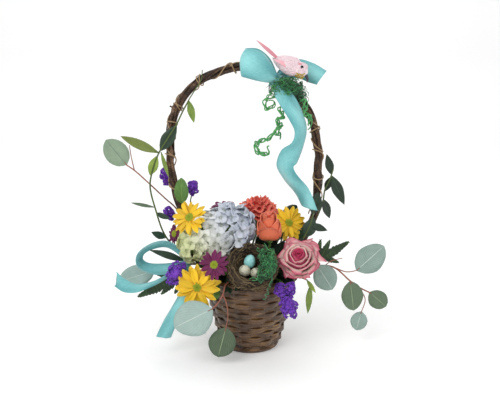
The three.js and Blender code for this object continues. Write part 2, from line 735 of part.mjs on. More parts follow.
function plantEucalyptus() {
  const round = (root, tip, half, face, extra = {}) => ({ root, tip, half, face, shape: ROUND, fold: 0.12,
    ...extra });

  spray("eucalyptus_left", "eucalyptus", [
    planted(entry(158), [vec(-84, 36, 150), vec(-113, 36, 205), vec(-131, 22, 228), vec(-150, 8, 252),
      vec(-172, 2, 275),
      vec(-184, 1, 284)], 1.3, 3),
    twig([[-172, 2, 275], [-176, 2, 296], [-178, 2, 313]], 0.8),
  ], [
    round([-183, 1, 284], [-212, -2, 322], 17.5, [0.1, -1, 0.1]),
  ]);

  spray("eucalyptus_front", "eucalyptus", [
    planted(entry(255), [vec(-24, -58, 124), vec(-35, -76, 124), vec(-39, -88, 113), vec(-46, -93, 102),
      vec(-55, -95, 93)], 1.4, 3),
    twig([[-39, -88, 113], [-34, -88, 100], [-32, -88, 80], [-35, -86, 60]], 0.9),
  ], [
    round([-54, -95, 94], [-109, -97, 66], 26, [-0.1, -1, 0.1]),
    round([-35, -86, 61], [-47, -83, 13], 20, [0.1, -1, 0.15]),
  ]);

  spray("eucalyptus_right", "eucalyptus", [
    planted(entry(330), [vec(76, -24, 131), vec(104, -25, 135), vec(126, -22, 131), vec(151, -20, 109),
      vec(163, -18, 99),
      vec(184, -12, 86)], 1.4, 3),
    twig([[126, -22, 131], [146, -17, 122], [163, -11, 122]]),
    twig([[163, -18, 99], [176, -16, 78], [171, -16, 56]]),
    twig([[112, -24, 134], [122, -22, 141], [139, -20, 145]], 0.7),
  ], [
    round([162, -11, 122], [203, -7, 160], 21, [0.1, -1, 0.2]),
    round([101, -26, 135], [124, -34, 100], 18, [0.2, -1, 0.2]),
    round([152, -20, 108], [158, -24, 62], 16.5, [0.1, -1, 0.1]),
    round([183, -12, 87], [210, -8, 62], 14.5, [0, -1, 0.1]),
    round([171, -16, 57], [164, -16, 26], 13, [-0.1, -1, 0.1]),
  ]);

  spray("eucalyptus_low_left", "eucalyptus", [
    planted(entry(181, 33), [vec(-44, 8, 130), vec(-88, 16, 129), vec(-128, 0, 126), vec(-146, -14, 123)],
      1.3, 3),
  ], [
    round([-145, -14, 123], [-200, -18, 106], 17, [0, -0.9, 0.45]),
  ]);
}

// A fern frond: a rib with toothed leaflets in pairs, and one at the tip.
function fern(name, mouth, route, pinnae) {
  const blades = pinnae.map(([root, tip, half, face = [0, -1, 0.3]]) =>
    blade({ root: from(root), tip: from(tip), facing: from(face), outline: toothed(half, 2), fold: 0.1 }));
  piece(foliage, name, fuse(planted(entry(...mouth), route.map(from), 1.3, 3), blades), "fern");
}

// A frond in one blade, its leaflets cut to the rib in pairs.
function cutFrond(name, mouth, route, { root, tip, face, half, pairs }) {
  const outline = [[0, 1]];
  for (let k = 0; k < pairs; k++) {
    const share = (k + 0.8) / (pairs + 0.8);
    const reach = half * Math.sin(Math.PI * (0.25 + 0.65 * share));
    outline.push([share - 0.45 / pairs, 1.2], [share, reach]);
  }
  outline.push([1, 0]);
  const leaf = blade({ root: from(root), tip: from(tip), facing: from(face), outline, bow: 6, thick: 1.2 });
  piece(foliage, name, fuse(planted(entry(...mouth), [...route, root].map(from), 1.4, 3), leaf), "fern");
}

function plantFerns() {
  fern("fern_right", [342, 43], [[78, -13, 127], [104, -15, 140], [112, -14, 144]], [
    [[110, -15, 143], [149, -6, 166], 7],
    [[106, -15, 141], [120, -12, 170], 5.5],
    [[100, -15, 138], [106, -14, 172], 5],
    [[112, -14, 144], [134, -14, 136], 4.5],
  ]);
  fern("fern_left", [211, 43], [[-66, -33, 124], [-98, -34, 122], [-120, -36, 114]], [
    [[-118, -36, 115], [-167, -42, 92], 8],
    [[-108, -35, 119], [-132, -42, 96], 6],
    [[-96, -34, 122], [-112, -44, 98], 6, [0, -1, 0.4]],
    [[-112, -35, 118], [-142, -30, 124], 4],
  ]);
  cutFrond("fern_back_left", [112, 42], [[-26, 50, 128]],
    { root: [-34, 62, 134], tip: [-74, 112, 110], face: [0, 0.5, 0.85], half: 30, pairs: 5 });
  cutFrond("fern_back_right", [66, 42], [[24, 50, 128]],
    { root: [32, 62, 134], tip: [78, 108, 110], face: [0, 0.5, 0.85], half: 30, pairs: 5 });
  cutFrond("fern_back_tall", [88, 30], [[-2, 40, 145]],
    { root: [-3, 50, 152], tip: [-8, 80, 206], face: [0, 1, -0.3], half: 30, pairs: 5 });
}

function plantVines() {
  spray("smilax_left", "light_leaf", [
    planted(entry(200), [vec(-66, -18, 125), vec(-98, -15, 147), vec(-126, -13, 176), vec(-141, -12, 220),
      vec(-148, -10, 254),
      vec(-144, -11, 276), vec(-134, -13, 303), vec(-120, -14, 326), vec(-107, -14, 346), vec(-97, -13, 366),
      vec(-88, -12, 382)], 1.4, 3),
    twig([[-89, -12, 381], [-78, -12, 398], [-70, -11, 411], [-68, -10, 425]], 0.8),
  ], [
    { root: [-136, -13, 300], tip: [-148, -9, 270], half: 7, shape: SLENDER, fold: 0.4 },
    { root: [-134, -12, 305], tip: [-190, -4, 328], half: 7, shape: SLENDER, fold: 0.2 },
    { root: [-131, -12, 308], tip: [-106, -11, 346], half: 10, fold: 0.05 },
    { root: [-130, -13, 306], tip: [-120, -12, 268], half: 3, shape: SLENDER },
    { root: [-140, -12, 213], tip: [-119, -16, 205], half: 4.5 },
    { root: [-142, -12, 222], tip: [-178, -8, 228], half: 2.6, shape: SLENDER },
    { root: [-88, -12, 381], tip: [-81, -13, 349], half: 5.5, fold: 0.3 },
    { root: [-126, -13, 175], tip: [-148, -14, 184], half: 6 },
  ]);

  spray("smilax_right", "dark_leaf", [
    planted(entry(15), [vec(68, 14, 132), vec(94, 15, 180), vec(110, 12, 222), vec(113, 8, 245),
      vec(120, 5, 262),
      vec(124, 4, 276)], 1.4, 3),
  ], [
    { root: [122, 5, 268], tip: [114, 7, 299], half: 6.5, bow: 1 },
    { root: [121, 5, 264], tip: [114, 14, 240], half: 6 },
    { root: [122, 5, 266], tip: [142, 1, 222], half: 8.5, sway: -4 },
    { root: [111, 11, 228], tip: [122, 18, 196], half: 7, face: [0.3, -1, 0.2] },
  ]);

  spray("salal_right", "dark_leaf", [
    planted(entry(345, 33), [vec(54, -13, 140), vec(76, -14, 168), vec(90, -14, 196), vec(95, -13, 216)],
      1.4, 3),
  ], [
    { root: [82, -14, 176], tip: [96, -14, 207], half: 11, fold: 0.1, sway: 1 },
    { root: [94, -13, 212], tip: [101, -12, 246], half: 10.5, fold: 0.1 },
    { root: [90, -14, 196], tip: [116, -16, 187], half: 6 },
  ]);

  spray("ruscus_low_right", "light_leaf", [
    planted(entry(313), [vec(44, -38, 124), vec(68, -47, 125), vec(84, -50, 121), vec(89, -51, 112)], 1.2, 3),
  ], [
    { root: [89, -51, 113], tip: [86, -52, 68], half: 5 },
    { root: [84, -50, 121], tip: [97, -56, 103], half: 3.5 },
  ]);

  spray("salal_back", "dark_leaf", [
    planted(entry(40), [vec(42, 42, 130), vec(52, 54, 158), vec(56, 60, 186)], 1.5, 3),
  ], [
    { root: [38, 36, 123], tip: [66, 54, 128], half: 17, shape: ROUND, face: [0.1, 0.3, 0.9], bow: 4 },
    { root: [50, 52, 153], tip: [20, 74, 172], half: 16, face: [0, 0.9, 0.5], bow: 4 },
    { root: [54, 59, 180], tip: [74, 62, 205], half: 11, face: [0.2, 1, 0.2], bow: 3 },
  ]);

  spray("salal_back_left", "dark_leaf", [
    planted(entry(133, 32), [vec(-30, 38, 138), vec(-46, 50, 162), vec(-52, 56, 186)], 1.5, 3),
  ], [
    { root: [-29, 37, 136], tip: [-2, 76, 136], half: 16, shape: ROUND, face: [0, 0.5, 0.85], bow: 4 },
    { root: [-42, 47, 157], tip: [-78, 62, 168], half: 15, face: [-0.2, 0.9, 0.4], bow: 4 },
    { root: [-51, 55, 181], tip: [-44, 62, 207], half: 11, face: [0, 1, 0.2], bow: 3 },
  ]);
}

// ---------------------------------------------------------------- nest, eggs and moss
const nestAt = new THREE.Matrix4().makeRotationX(rad(NEST.tilt)).setPosition(...NEST.centre);

// The inner face of the nest's bowl: radius against height above the rim plane.
const NEST_BOWL = [[0, -17], [14, -15], [22, -9], [28, 2]];

function nestShell() {
  const { radius, depth } = NEST;
  const outer = [[0, -depth], [16, -depth + 2], [28, -depth + 10], [radius - 1, -9], [radius, -1],
    [radius - 3, 4]];
  const profile = [...outer, ...NEST_BOWL.slice().reverse()];
  const sides = 18;
  const geometry = new THREE.LatheGeometry(profile.map(([r, z]) => new THREE.Vector2(r, z)), sides);
  geometry.rotateX(Math.PI / 2);
  const position = geometry.attributes.position;
  for (let i = 0; i < position.count; i++) {
    const p = new THREE.Vector3().fromBufferAttribute(position, i);
    const around = Math.atan2(p.y, p.x);
    const r = Math.hypot(p.x, p.y);
    const outside = p.z < NEST_BOWL[0][1] - 1 || r > 29;
    if (r < 1 || !outside) continue;
    const coil = 1 + 0.035 * Math.sin(9 * around + p.z * 0.8) + 0.025 * Math.sin(14 * around - p.z);
    position.setXYZ(i, p.x * coil, p.y * coil, p.z + 0.6 * Math.sin(7 * around));
  }
  return solidOf(geometry.applyMatrix4(nestAt));
}

// Loose twigs that stand off the nest's rim and outside.
function nestTwigs() {
  const random = seeded(77);
  const twigs = [];
  for (let k = 0; k < 4; k++) {
    const start = (k / 4) * 2 * Math.PI + random();
    const lift = 3 + 2 * random();
    const points = [0, 0.3, 0.6, 0.9].map((step, n) => {
      const r = NEST.radius - 4 + (n === 3 ? 5 : n === 0 ? 3 : 0.5) + 2 * random();
      return vec(r * Math.cos(start + step), r * Math.sin(start + step), lift - n * (1 + random()));
    });
    twigs.push(tube(points.map((p) => p.applyMatrix4(nestAt)), 0.8, 3, 4));
  }
  return twigs;
}

const EGGS = [
  { name: "blue_egg", colour: "blue_egg", at: [-3.4, 9, -4.4], radii: [8.3, 8.3, 10],
    lean: [0.25, 0.75, 0.6] },
  { name: "speckled_egg_left", colour: "speckled_egg", at: [-10.8, -7, -3.8], radii: [8.3, 8.3, 9.4],
    lean: [-0.3, -0.2, 0.9] },
  { name: "speckled_egg_right", colour: "speckled_egg", at: [5.3, -9.3, -6.3], radii: [7.6, 7.6, 8.6],
    lean: [0.2, -0.3, 0.9] },
];

function layEggs() {
  for (const { name, colour, at, radii, lean } of EGGS) {
    const where = nestAt.clone().multiply(stance(from(at), from(lean)));
    piece(ornaments, name, solidOf(ball(radii, 10, 6)), colour, where);
  }
}

// A curly strand over the nest's inside and rim, given as [angle, radius, height] in the nest's own frame.
function curl(points, radius = 0.75) {
  const placedPoints = points.map(([angle, r, z]) =>
    vec(r * Math.cos(rad(angle)), r * Math.sin(rad(angle)), z).applyMatrix4(nestAt));
  return tube(placedPoints, radius, 3, points.length + 1);
}

function nestMoss() {
  const tuft = bristling(nestAt.clone().multiply(new THREE.Matrix4().makeTranslation(25, 0, 5)),
    [5.5, 9.5, 4.5], 1, 52);
  const strands = [
    curl([[-14, 25, 6], [-26, 30, 9.5], [-40, 36, 9.5], [-50, 41, 5], [-56, 43.5, -4], [-62, 45, -14],
      [-68, 45, -25]]),
    curl([[38, 22, 4], [22, 23, 7], [8, 21, 5.5], [-4, 23, 7.5], [-16, 20, 5.5], [-28, 23, 7.5],
      [-40, 22, 5.5], [-52, 26, 8.5]]),
    curl([[48, 26, 7], [32, 27, 8], [20, 30, 9.5], [6, 27, 8], [-8, 30, 8], [-20, 27, 8], [-32, 33, 10],
      [-44, 29, 9]]),
    curl([[-10, 26, 7], [-30, 26, 8.5], [-52, 29, 9.5], [-68, 27, 9], [-82, 31, 10], [-94, 28, 9],
      [-106, 34, 10.5]]),
    curl([[8, 27, 6], [20, 31, 9.5], [32, 35, 10], [44, 31, 9.5], [58, 34, 9.5]]),
  ];
  const eggs = EGGS.map(({ name }) => solids[name]);
  return clearOf(fuse(tuft, strands), [solids.nest, ...eggs]);
}

// ---------------------------------------------------------------- bird, moss and ribbons on the handle
const BIRD = { centre: [57, -9, 431], way: [0.93, -0.1, -0.3] };

function birdBody() {
  const way = from(BIRD.way).normalize();
  const at = stance(from(BIRD.centre), way);
  const body = turned([[0, -24], [4, -21], [8.5, -12], [11.5, 0], [11, 8], [8.8, 13], [9.6, 18], [8.6, 23],
    [0, 28]], 8);
  const tail = blade({ root: vec(44, -8, 436), tip: vec(10, -8, 466), facing: vec(0.2, -1, 0.2),
    outline: widen(TAIL, 4), thick: 2 });
  const wing = (side) =>
    blade({ root: vec(70, -9 + side * 8, 430), tip: vec(36, -9 + side * 8.5, 440), facing: vec(0, side, 0.3),
      outline: widen(POINTED, 7), thick: 2.6 });
  return fuse(placed(body, at), tail, wing(-1), wing(1));
}

const TAIL = [[0, 1], [0.5, 0.75], [0.9, 1], [1, 0.7]];

// A short hooked bill, a little clear of the face.
function birdBeak() {
  const face = from(BIRD.centre).addScaledVector(from(BIRD.way).normalize(), 24);
  const ring = (x, y, z, r) => [0, 1, 2, 3, 4].map((k) => {
    const a = -(k / 5) * 2 * Math.PI;
    return face.clone().add(vec(x + r * Math.cos(a), y + r * Math.sin(a), z));
  });
  const root = face.clone().add(vec(0.6, -1.6, -4.1));
  const tip = face.clone().add(vec(2, -4.4, -15));
  return loft([[root], ring(1.4, -2.2, -5.9, 2.6), ring(2.8, -3.2, -9.9, 2), [tip]]);
}

// Where the knot sits on the handle, as a share of the handle's length.
const KNOT = 0.435;

// A band round the rods, over the binding.
function knotBand(u, inner, outer, halfLength) {
  const spreadU = halfLength / HANDLE_LENGTH;
  const ringAt = (share, distance) =>
    Array.from({ length: 8 }, (_, k) => aroundHandle(share, (k / 8) * 2 * Math.PI, distance));
  const outside = loft([ringAt(u - spreadU, outer), ringAt(u, outer + 1.5), ringAt(u + spreadU, outer)]);
  return outside.subtract(handleSleeve(u - 3 * spreadU, u + 3 * spreadU, inner));
}

// The room that the rods and their binding take up over a stretch of the handle.
function handleSleeve(start, end, radius) {
  const count = Math.max(2, Math.round(((end - start) * HANDLE_LENGTH) / 12));
  const rings = [];
  for (let k = 0; k <= count; k++) {
    const u = start + ((end - start) * k) / count;
    rings.push(Array.from({ length: 8 }, (_, i) => aroundHandle(u, (i / 8) * 2 * Math.PI, radius)));
  }
  return loft(rings);
}

// A ribbon through stations of [centre, half width vector].
function ribbon(stations, thick = RIBBON_THICK) {
  const rings = stations.map(([centre, half], k) => {
    const before = stations[Math.max(0, k - 1)][0];
    const after = stations[Math.min(stations.length - 1, k + 1)][0];
    const along = from(after).sub(from(before));
    const across = from(half);
    const lift = along.cross(across).normalize().multiplyScalar(thick / 2);
    const point = (side, up) => from(centre).addScaledVector(across, side).addScaledVector(lift, up);
    return [point(-1, -1), point(1, -1), point(1, 1), point(-1, 1)];
  });
  return loft(rings, 2);
}

function handleBow() {
  const band = knotBand(KNOT, 9.4, 11.6, 6);
  const loop = ribbon([
    [[37, -10.5, 411], [1.5, 0, 4.5]],
    [[28, -20, 421], [3, 0, 13]],
    [[14, -28, 431], [4, 0, 19.5]],
    [[0, -30, 436], [3.5, 0, 20.5]],
    [[-9, -26, 437], [2.5, 0, 19.5]],
    [[-7, -19, 438], [3, 0, 18.5]],
    [[8, -15.5, 437], [4, 0, 18]],
    [[24, -14, 430], [4, 0, 12]],
    [[38, -11.5, 413], [1.5, 0, 4.5]],
  ]);
  const rightTail = ribbon([
    [[37, 10, 412], [0, 0, 4]],
    [[50, 12.5, 419], [-2, 0, 10]],
    [[70, 14, 424], [-1, 0, 14]],
    [[88, 10, 419], [3, 0, 14]],
    [[104, 5, 412], [7, 0, 10]],
  ]);
  const tail = ribbon([
    [[37, -10, 404], [4, 0, 3]],
    [[44, -17, 396], [9, 0, 6]],
    [[54, -22, 381], [11, 3, 5]],
    [[66, -23, 360], [11, 6, 4]],
    [[73, -22, 340], [11, 8, 0]],
    [[69, -22, 319], [11, 7, -5]],
    [[57, -24, 302], [13, 3, -8]],
    [[51, -24, 288], [13, -2, 2]],
    [[58, -21, 272], [12, -7, 7]],
    [[76, -19, 250], [10, -8, 8]],
    [[97, -18, 222], [9, -4, 8]],
  ]);
  return fuse(band, loop, rightTail, tail);
}

function basketBow() {
  const pick = planted(entry(205, 34), [vec(-58, -25, 137), vec(-84, -36, 141), vec(-94, -38, 142)], 1.5, 5);
  const knot = solidOf(ball([6, 7, 7], 8, 6).translate(-95, -38, 143));
  const loop = ribbon([
    [[-95, -38, 146], [2, -5, 3]],
    [[-106, -33, 160], [3, -6, 6]],
    [[-124, -33, 171], [1, -8, 7.5]],
    [[-146, -36, 168], [-2, -9, 6]],
    [[-162, -37, 156], [-4, -10.5, 2]],
    [[-163, -38, 144], [-3, -11, -2]],
    [[-150, -39, 136], [1, -10, -5]],
    [[-128, -38, 134], [2, -9, -6]],
    [[-97, -38, 141], [1, -5, -4]],
  ]);
  const leftTail = ribbon([
    [[-96, -43, 138], [1.5, -4, -3.4]],
    [[-122, -52, 126], [2, -6, 5]],
    [[-148, -53, 114], [2, -5, 6]],
    [[-170, -50, 108], [1, -3, 8]],
    [[-188, -46, 112], [0, 3, 10]],
    [[-200, -44, 121], [1, 6, 9]],
  ]);
  const lowTail = ribbon([
    [[-93, -42.5, 139], [4.6, -2, 0.7]],
    [[-92, -50, 122], [9, -3, 0]],
    [[-95, -54, 104], [10, -4, 3]],
    [[-106, -52, 82], [10, -6, 3]],
    [[-118, -50, 58], [11, -4, 2]],
    [[-130, -50, 30], [11, 2, -2]],
  ]);
  return fuse(pick, knot, loop, leftTail, lowTail);
}

// Curly moss packed round the handle under the bird, with long curls hanging from it.
function handleMoss() {
  const tuft = bristling(stance(vec(62, -1, 391), vec(-0.77, 0, 0.64)), [16, 16, 22], 1, 60);
  const seat = solidOf(ball([14, 9, 8], 7, 5).translate(64, -7, 412));
  const curls = [
    [[56, -5, 382], [47, -5, 379], [38, -4, 386], [28, -5, 386], [21, -4, 378], [26, -5, 369],
      [34, -3, 373], [29, -3, 382]],
    [[60, -4, 379], [51, -4, 371], [43, -2, 366], [48, -4, 358], [40, -5, 350], [46, -3, 342],
      [38, -4, 334], [45, -4, 326],
      [40, -4, 312]],
    [[44, -3.6, 346], [34, -5, 332], [22, -5, 322], [12, -4, 320], [9, -5, 310], [17, -4, 301],
      [26, -5, 305], [30, -4, 316]],
    [[70, -11, 388], [80, -12, 377], [79, -11, 365], [87, -11, 354], [84, -11, 341]],
    [[68, 6, 400], [57, 13, 406], [46, 14, 402], [37, 14, 394], [28, 8, 389]],
    ].map((points) => tube(points.map(from), 0.9, 3, points.length + 1));
  const sleeve = handleSleeve(0.34, 0.45, 10);
  const packed = fuse(tuft, seat, curls).subtract(sleeve);
  return clearOf(packed, [solids.bird_body, solids.bird_beak, solids.handle_bow]);
}

// ---------------------------------------------------------------- assembly
plantFlowers();
plantStatice();
plantEucalyptus();
plantFerns();
plantVines();

const nestPick = planted(entry(270), [vec(2, -48, 124), vec(2, -56, 132)], 1.6, 5);
piece(ornaments, "nest", fuse(nestShell(), nestTwigs(), nestPick), "nest");
layEggs();
piece(ornaments, "nest_moss", nestMoss(), "moss");

piece(ornaments, "bird_body", birdBody(), "bird");
piece(ornaments, "bird_beak", clearOf(birdBeak(), [solids.bird_body]), "beak");
piece(ornaments, "handle_bow", handleBow(), "ribbon");
piece(ornaments, "handle_moss", handleMoss(), "moss");
piece(ornaments, "basket_bow", basketBow(), "ribbon");

piece(holder, "basket", wovenShell(), "wicker");
piece(holder, "rim_hoop", rimHoop(), "wicker");
piece(holder, "liner", liner(), "liner");
piece(holder, "floral_foam", stemHoles.reduce((block, hole) => block.subtract(hole), foamBlock()), "foam");
[0, 1, 2].forEach((index) => piece(holder, `handle_rod_${index + 1}`, handleRod(index), "vine"));
piece(holder, "handle_binding", caneBinding(), "cane");

export default arrangement;
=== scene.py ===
"""Flower basket arrangement: the finished look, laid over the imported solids.

Tables and shapes are in millimetres, as in the part's source; every mesh is made in metres at the end.
"""

import bisect
import math
import random
from functools import partial

import bmesh
import bpy
from bpy.props import FloatProperty, FloatVectorProperty, IntProperty, PointerProperty
from mathutils import Matrix, Quaternion, Vector


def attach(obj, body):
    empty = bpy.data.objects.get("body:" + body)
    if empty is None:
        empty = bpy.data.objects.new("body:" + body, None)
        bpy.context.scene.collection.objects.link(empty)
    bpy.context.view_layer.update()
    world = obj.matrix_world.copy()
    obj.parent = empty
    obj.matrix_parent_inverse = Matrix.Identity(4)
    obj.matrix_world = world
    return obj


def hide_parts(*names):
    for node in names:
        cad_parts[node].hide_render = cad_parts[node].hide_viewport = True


bl_info = {
    "name": "Flower Basket Arrangement",
    "version": (1, 0, 0),
    "blender": (4, 5, 0),
    "location": "View3D > Sidebar > Arrangement",
    "description": "Makes the blooms, foliage, nest, bird, ribbons and wickerwork of a basket arrangement",
    "category": "Add Mesh",
}

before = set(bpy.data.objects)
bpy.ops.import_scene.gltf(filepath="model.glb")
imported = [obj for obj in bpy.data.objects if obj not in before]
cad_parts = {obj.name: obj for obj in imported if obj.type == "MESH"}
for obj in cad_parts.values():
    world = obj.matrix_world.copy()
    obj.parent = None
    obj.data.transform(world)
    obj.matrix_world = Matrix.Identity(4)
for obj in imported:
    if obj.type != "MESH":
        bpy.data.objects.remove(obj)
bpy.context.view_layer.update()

MM = 0.001
UP = Vector((0, 0, 1))
FRONT = Vector((0, -1, 0))
TURN = 2 * math.pi
GOLDEN_ANGLE = math.pi * (3 - math.sqrt(5))
# the foam: its radius, the height of its top's edge and the rise of the dome above that
FOAM_RADIUS = 48.4
FOAM_EDGE = 112
FOAM_DOME = 17
FINISHES = {}
TREES = {}


def linear(code):
    """An sRGB hex colour as the four linear values that a shader takes."""
    shares = [int(code[k : k + 2], 16) / 255 for k in (1, 3, 5)]
    return (*(c / 12.92 if c <= 0.04045 else ((c + 0.055) / 1.055) ** 2.4 for c in shares), 1.0)


# ---- settings a user would change
def colour(label, code, tells):
    """A colour setting that starts at a hex colour."""
    return FloatVectorProperty(
        name=label, description=tells, subtype="COLOR", size=4, min=0, max=1, default=linear(code)
    )


class ArrangementColours(bpy.types.PropertyGroup):
    """Main colours of the finishes"""

    ribbon: colour("Ribbon", "#74c8ca", "Dyed cloth of both bows")
    yellow: colour("Yellow daisy", "#ffd21c", "Middle of a yellow petal")
    magenta: colour("Magenta daisy", "#780a55", "Middle of a magenta petal")
    rose: colour("Rose edge", "#d8356c", "Rim of each rose petal")
    coral: colour("Rosebud", "#f3764c", "Middle of a bud petal")
    carnation: colour("Carnation", "#f05548", "Middle of a carnation petal")
    hydrangea: colour("Hydrangea", "#d8deea", "Open florets at the head's right")
    statice: colour("Statice", "#9c55ee", "Papery cups of the statice")
    eucalyptus: colour("Eucalyptus", "#a1b8b1", "Waxy face of a eucalyptus leaf")
    moss: colour("Moss", "#27723f", "Dyed curly moss")
    reed: colour("Reed", "#452b14", "Stained reeds of the basket")
    bird: colour("Bird", "#f0cbd4", "Feathers of the bird's body")


class ArrangementSizes(bpy.types.PropertyGroup):
    """Sizes and counts of what repeats"""

    reed_height: FloatProperty(
        name="Reed height", description="Height of one flat reed", default=7.7 * MM, unit="LENGTH"
    )
    reed_thickness: FloatProperty(
        name="Reed thickness", description="Thickness of a reed", default=2.3 * MM, unit="LENGTH"
    )
    relief: FloatProperty(
        name="Weave relief", description="How far a reed swings each way", default=2.4 * MM, unit="LENGTH"
    )
    stakes: IntProperty(name="Stakes", description="Upright stakes round the basket", default=18, min=8)
    hydrangea_florets: IntProperty(
        name="Hydrangea florets", description="Four-petalled florets on the mop head", default=96, min=20
    )
    nest_twigs: IntProperty(name="Nest twigs", description="Twigs wound into the nest", default=520, min=60)
    moss_strands: IntProperty(
        name="Moss strands", description="Strands in each moss tuft", default=110, min=20
    )


# ---- node and mesh tools
def add(tree, kind, inputs=None, stops=(), **settings):
    """One node with its settings and links. An input is a value, a hex colour, a node or a socket."""
    node = tree.nodes.new(kind)
    for key, value in settings.items():
        setattr(node, key, value)
    for key, value in (inputs or {}).items():
        if isinstance(value, bpy.types.Node):
            value = next(socket for socket in value.outputs if socket.enabled)
        if isinstance(value, bpy.types.NodeSocket):
            tree.links.new(value, node.inputs[key])
        else:
            node.inputs[key].default_value = linear(value) if str(value).startswith("#") else value
    for k, (place, shade) in enumerate(stops):
        marks = node.color_ramp.elements
        mark = marks[k] if k < 2 else marks.new(place)
        mark.position = place
        mark.color = linear(shade) if isinstance(shade, str) else shade
    return node


def new_tree(name, **sockets):
    """An empty geometry tree with a Geometry input, the named inputs and a Geometry output."""
    tree = bpy.data.node_groups.new(name, "GeometryNodeTree")
    tree.interface.new_socket("Geometry", in_out="INPUT", socket_type="NodeSocketGeometry")
    for label, kind in sockets.items():
        tree.interface.new_socket(label, in_out="INPUT", socket_type=kind)
    tree.interface.new_socket("Geometry", in_out="OUTPUT", socket_type="NodeSocketGeometry")
    return tree, add(tree, "NodeGroupInput").outputs


def end_tree(tree, geometry, material):
    """Closes a tree: its copies are made real and take their material."""
    real = add(tree, "GeometryNodeRealizeInstances", {"Geometry": geometry})
    dressed = add(tree, "GeometryNodeSetMaterial", {"Geometry": real, "Material": material})
    add(tree, "NodeGroupOutput", {0: dressed})
    return tree


def strand_tree():
    """Round strands along the guide's edges, as thick at each point as its radius says."""
    tree, given = new_tree("Round strands", Sides="NodeSocketInt", Material="NodeSocketMaterial")
    curves = add(tree, "GeometryNodeMeshToCurve", {"Mesh": given["Geometry"]})
    section = add(tree, "GeometryNodeCurvePrimitiveCircle", {"Resolution": given["Sides"], "Radius": 1.0})
    thick = add(tree, "GeometryNodeInputNamedAttribute", {"Name": "radius"}, data_type="FLOAT")
    skin = add(
        tree,
        "GeometryNodeCurveToMesh",
        {"Curve": curves, "Profile Curve": section, "Scale": thick, "Fill Caps": True},
    )
    smooth = add(tree, "GeometryNodeSetShadeSmooth", {"Geometry": skin})
    return end_tree(tree, smooth, given["Material"])


def copies_tree():
    """A copy of one small shape on each guide point, with that point's turn and size."""
    tree, given = new_tree("Set out copies", Shape="NodeSocketObject", Material="NodeSocketMaterial")
    shape = add(tree, "GeometryNodeObjectInfo", {"Object": given["Shape"]}).outputs["Geometry"]
    angles = add(tree, "GeometryNodeInputNamedAttribute", {"Name": "turn"}, data_type="FLOAT_VECTOR")
    turn = add(tree, "FunctionNodeEulerToRotation", {0: angles})
    size = add(tree, "GeometryNodeInputNamedAttribute", {"Name": "size"}, data_type="FLOAT")
    copies = add(
        tree,
        "GeometryNodeInstanceOnPoints",
        {"Points": given["Geometry"], "Instance": shape, "Rotation": turn, "Scale": size},
    )
    return end_tree(tree, copies, given["Material"])


def weave_tree():
    """Flat reeds along the guide's rings, standing on edge."""
    tree, given = new_tree(
        "Woven rows", Height="NodeSocketFloat", Thickness="NodeSocketFloat", Material="NodeSocketMaterial"
    )
    curves = add(tree, "GeometryNodeMeshToCurve", {"Mesh": given["Geometry"]})
    upright = add(tree, "GeometryNodeSetCurveNormal", {"Curve": curves}, mode="Z_UP")
    section = add(
        tree,
        "GeometryNodeCurvePrimitiveQuadrilateral",
        {"Width": given["Thickness"], "Height": given["Height"]},
    )
    corner = add(tree, "ShaderNodeMath", {0: given["Thickness"], 1: 0.46}, operation="MULTIPLY")
    rounded = add(
        tree, "GeometryNodeFilletCurve", {"Curve": section, "Count": 2, "Radius": corner}, mode="POLY"
    )
    skin = add(tree, "GeometryNodeCurveToMesh", {"Curve": upright, "Profile Curve": rounded})
    return end_tree(tree, skin, given["Material"])


def linked(name, data):
    """A new object of the given data, in the scene."""
    made = bpy.data.objects.new(name, data)
    bpy.context.scene.collection.objects.link(made)
    return made


def frozen(holder):
    """The plain mesh that an object's modifiers make of it. The object goes."""
    graph = bpy.context.evaluated_depsgraph_get()
    mesh = bpy.data.meshes.new_from_object(
        holder.evaluated_get(graph), preserve_all_data_layers=True, depsgraph=graph
    )
    bpy.data.objects.remove(holder)
    return mesh


def grown(guide, tree, **values):
    """The plain mesh that a tree makes of a guide object, with the given values on its inputs."""
    modifier = guide.modifiers.new("grow", "NODES")
    modifier.node_group = tree
    for item in tree.interface.items_tree:
        if item.in_out == "INPUT" and item.name in values:
            modifier[item.identifier] = values[item.name]
    return frozen(guide)


def shown(name, mesh, slot, nodes=()):
    """Puts a finished mesh in the scene as a piece that rides on the body and stands for the given nodes."""
    mesh.name = name
    piece = linked(name, mesh)
    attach(piece, "root")
    if nodes:
        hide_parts(*nodes)
    return piece


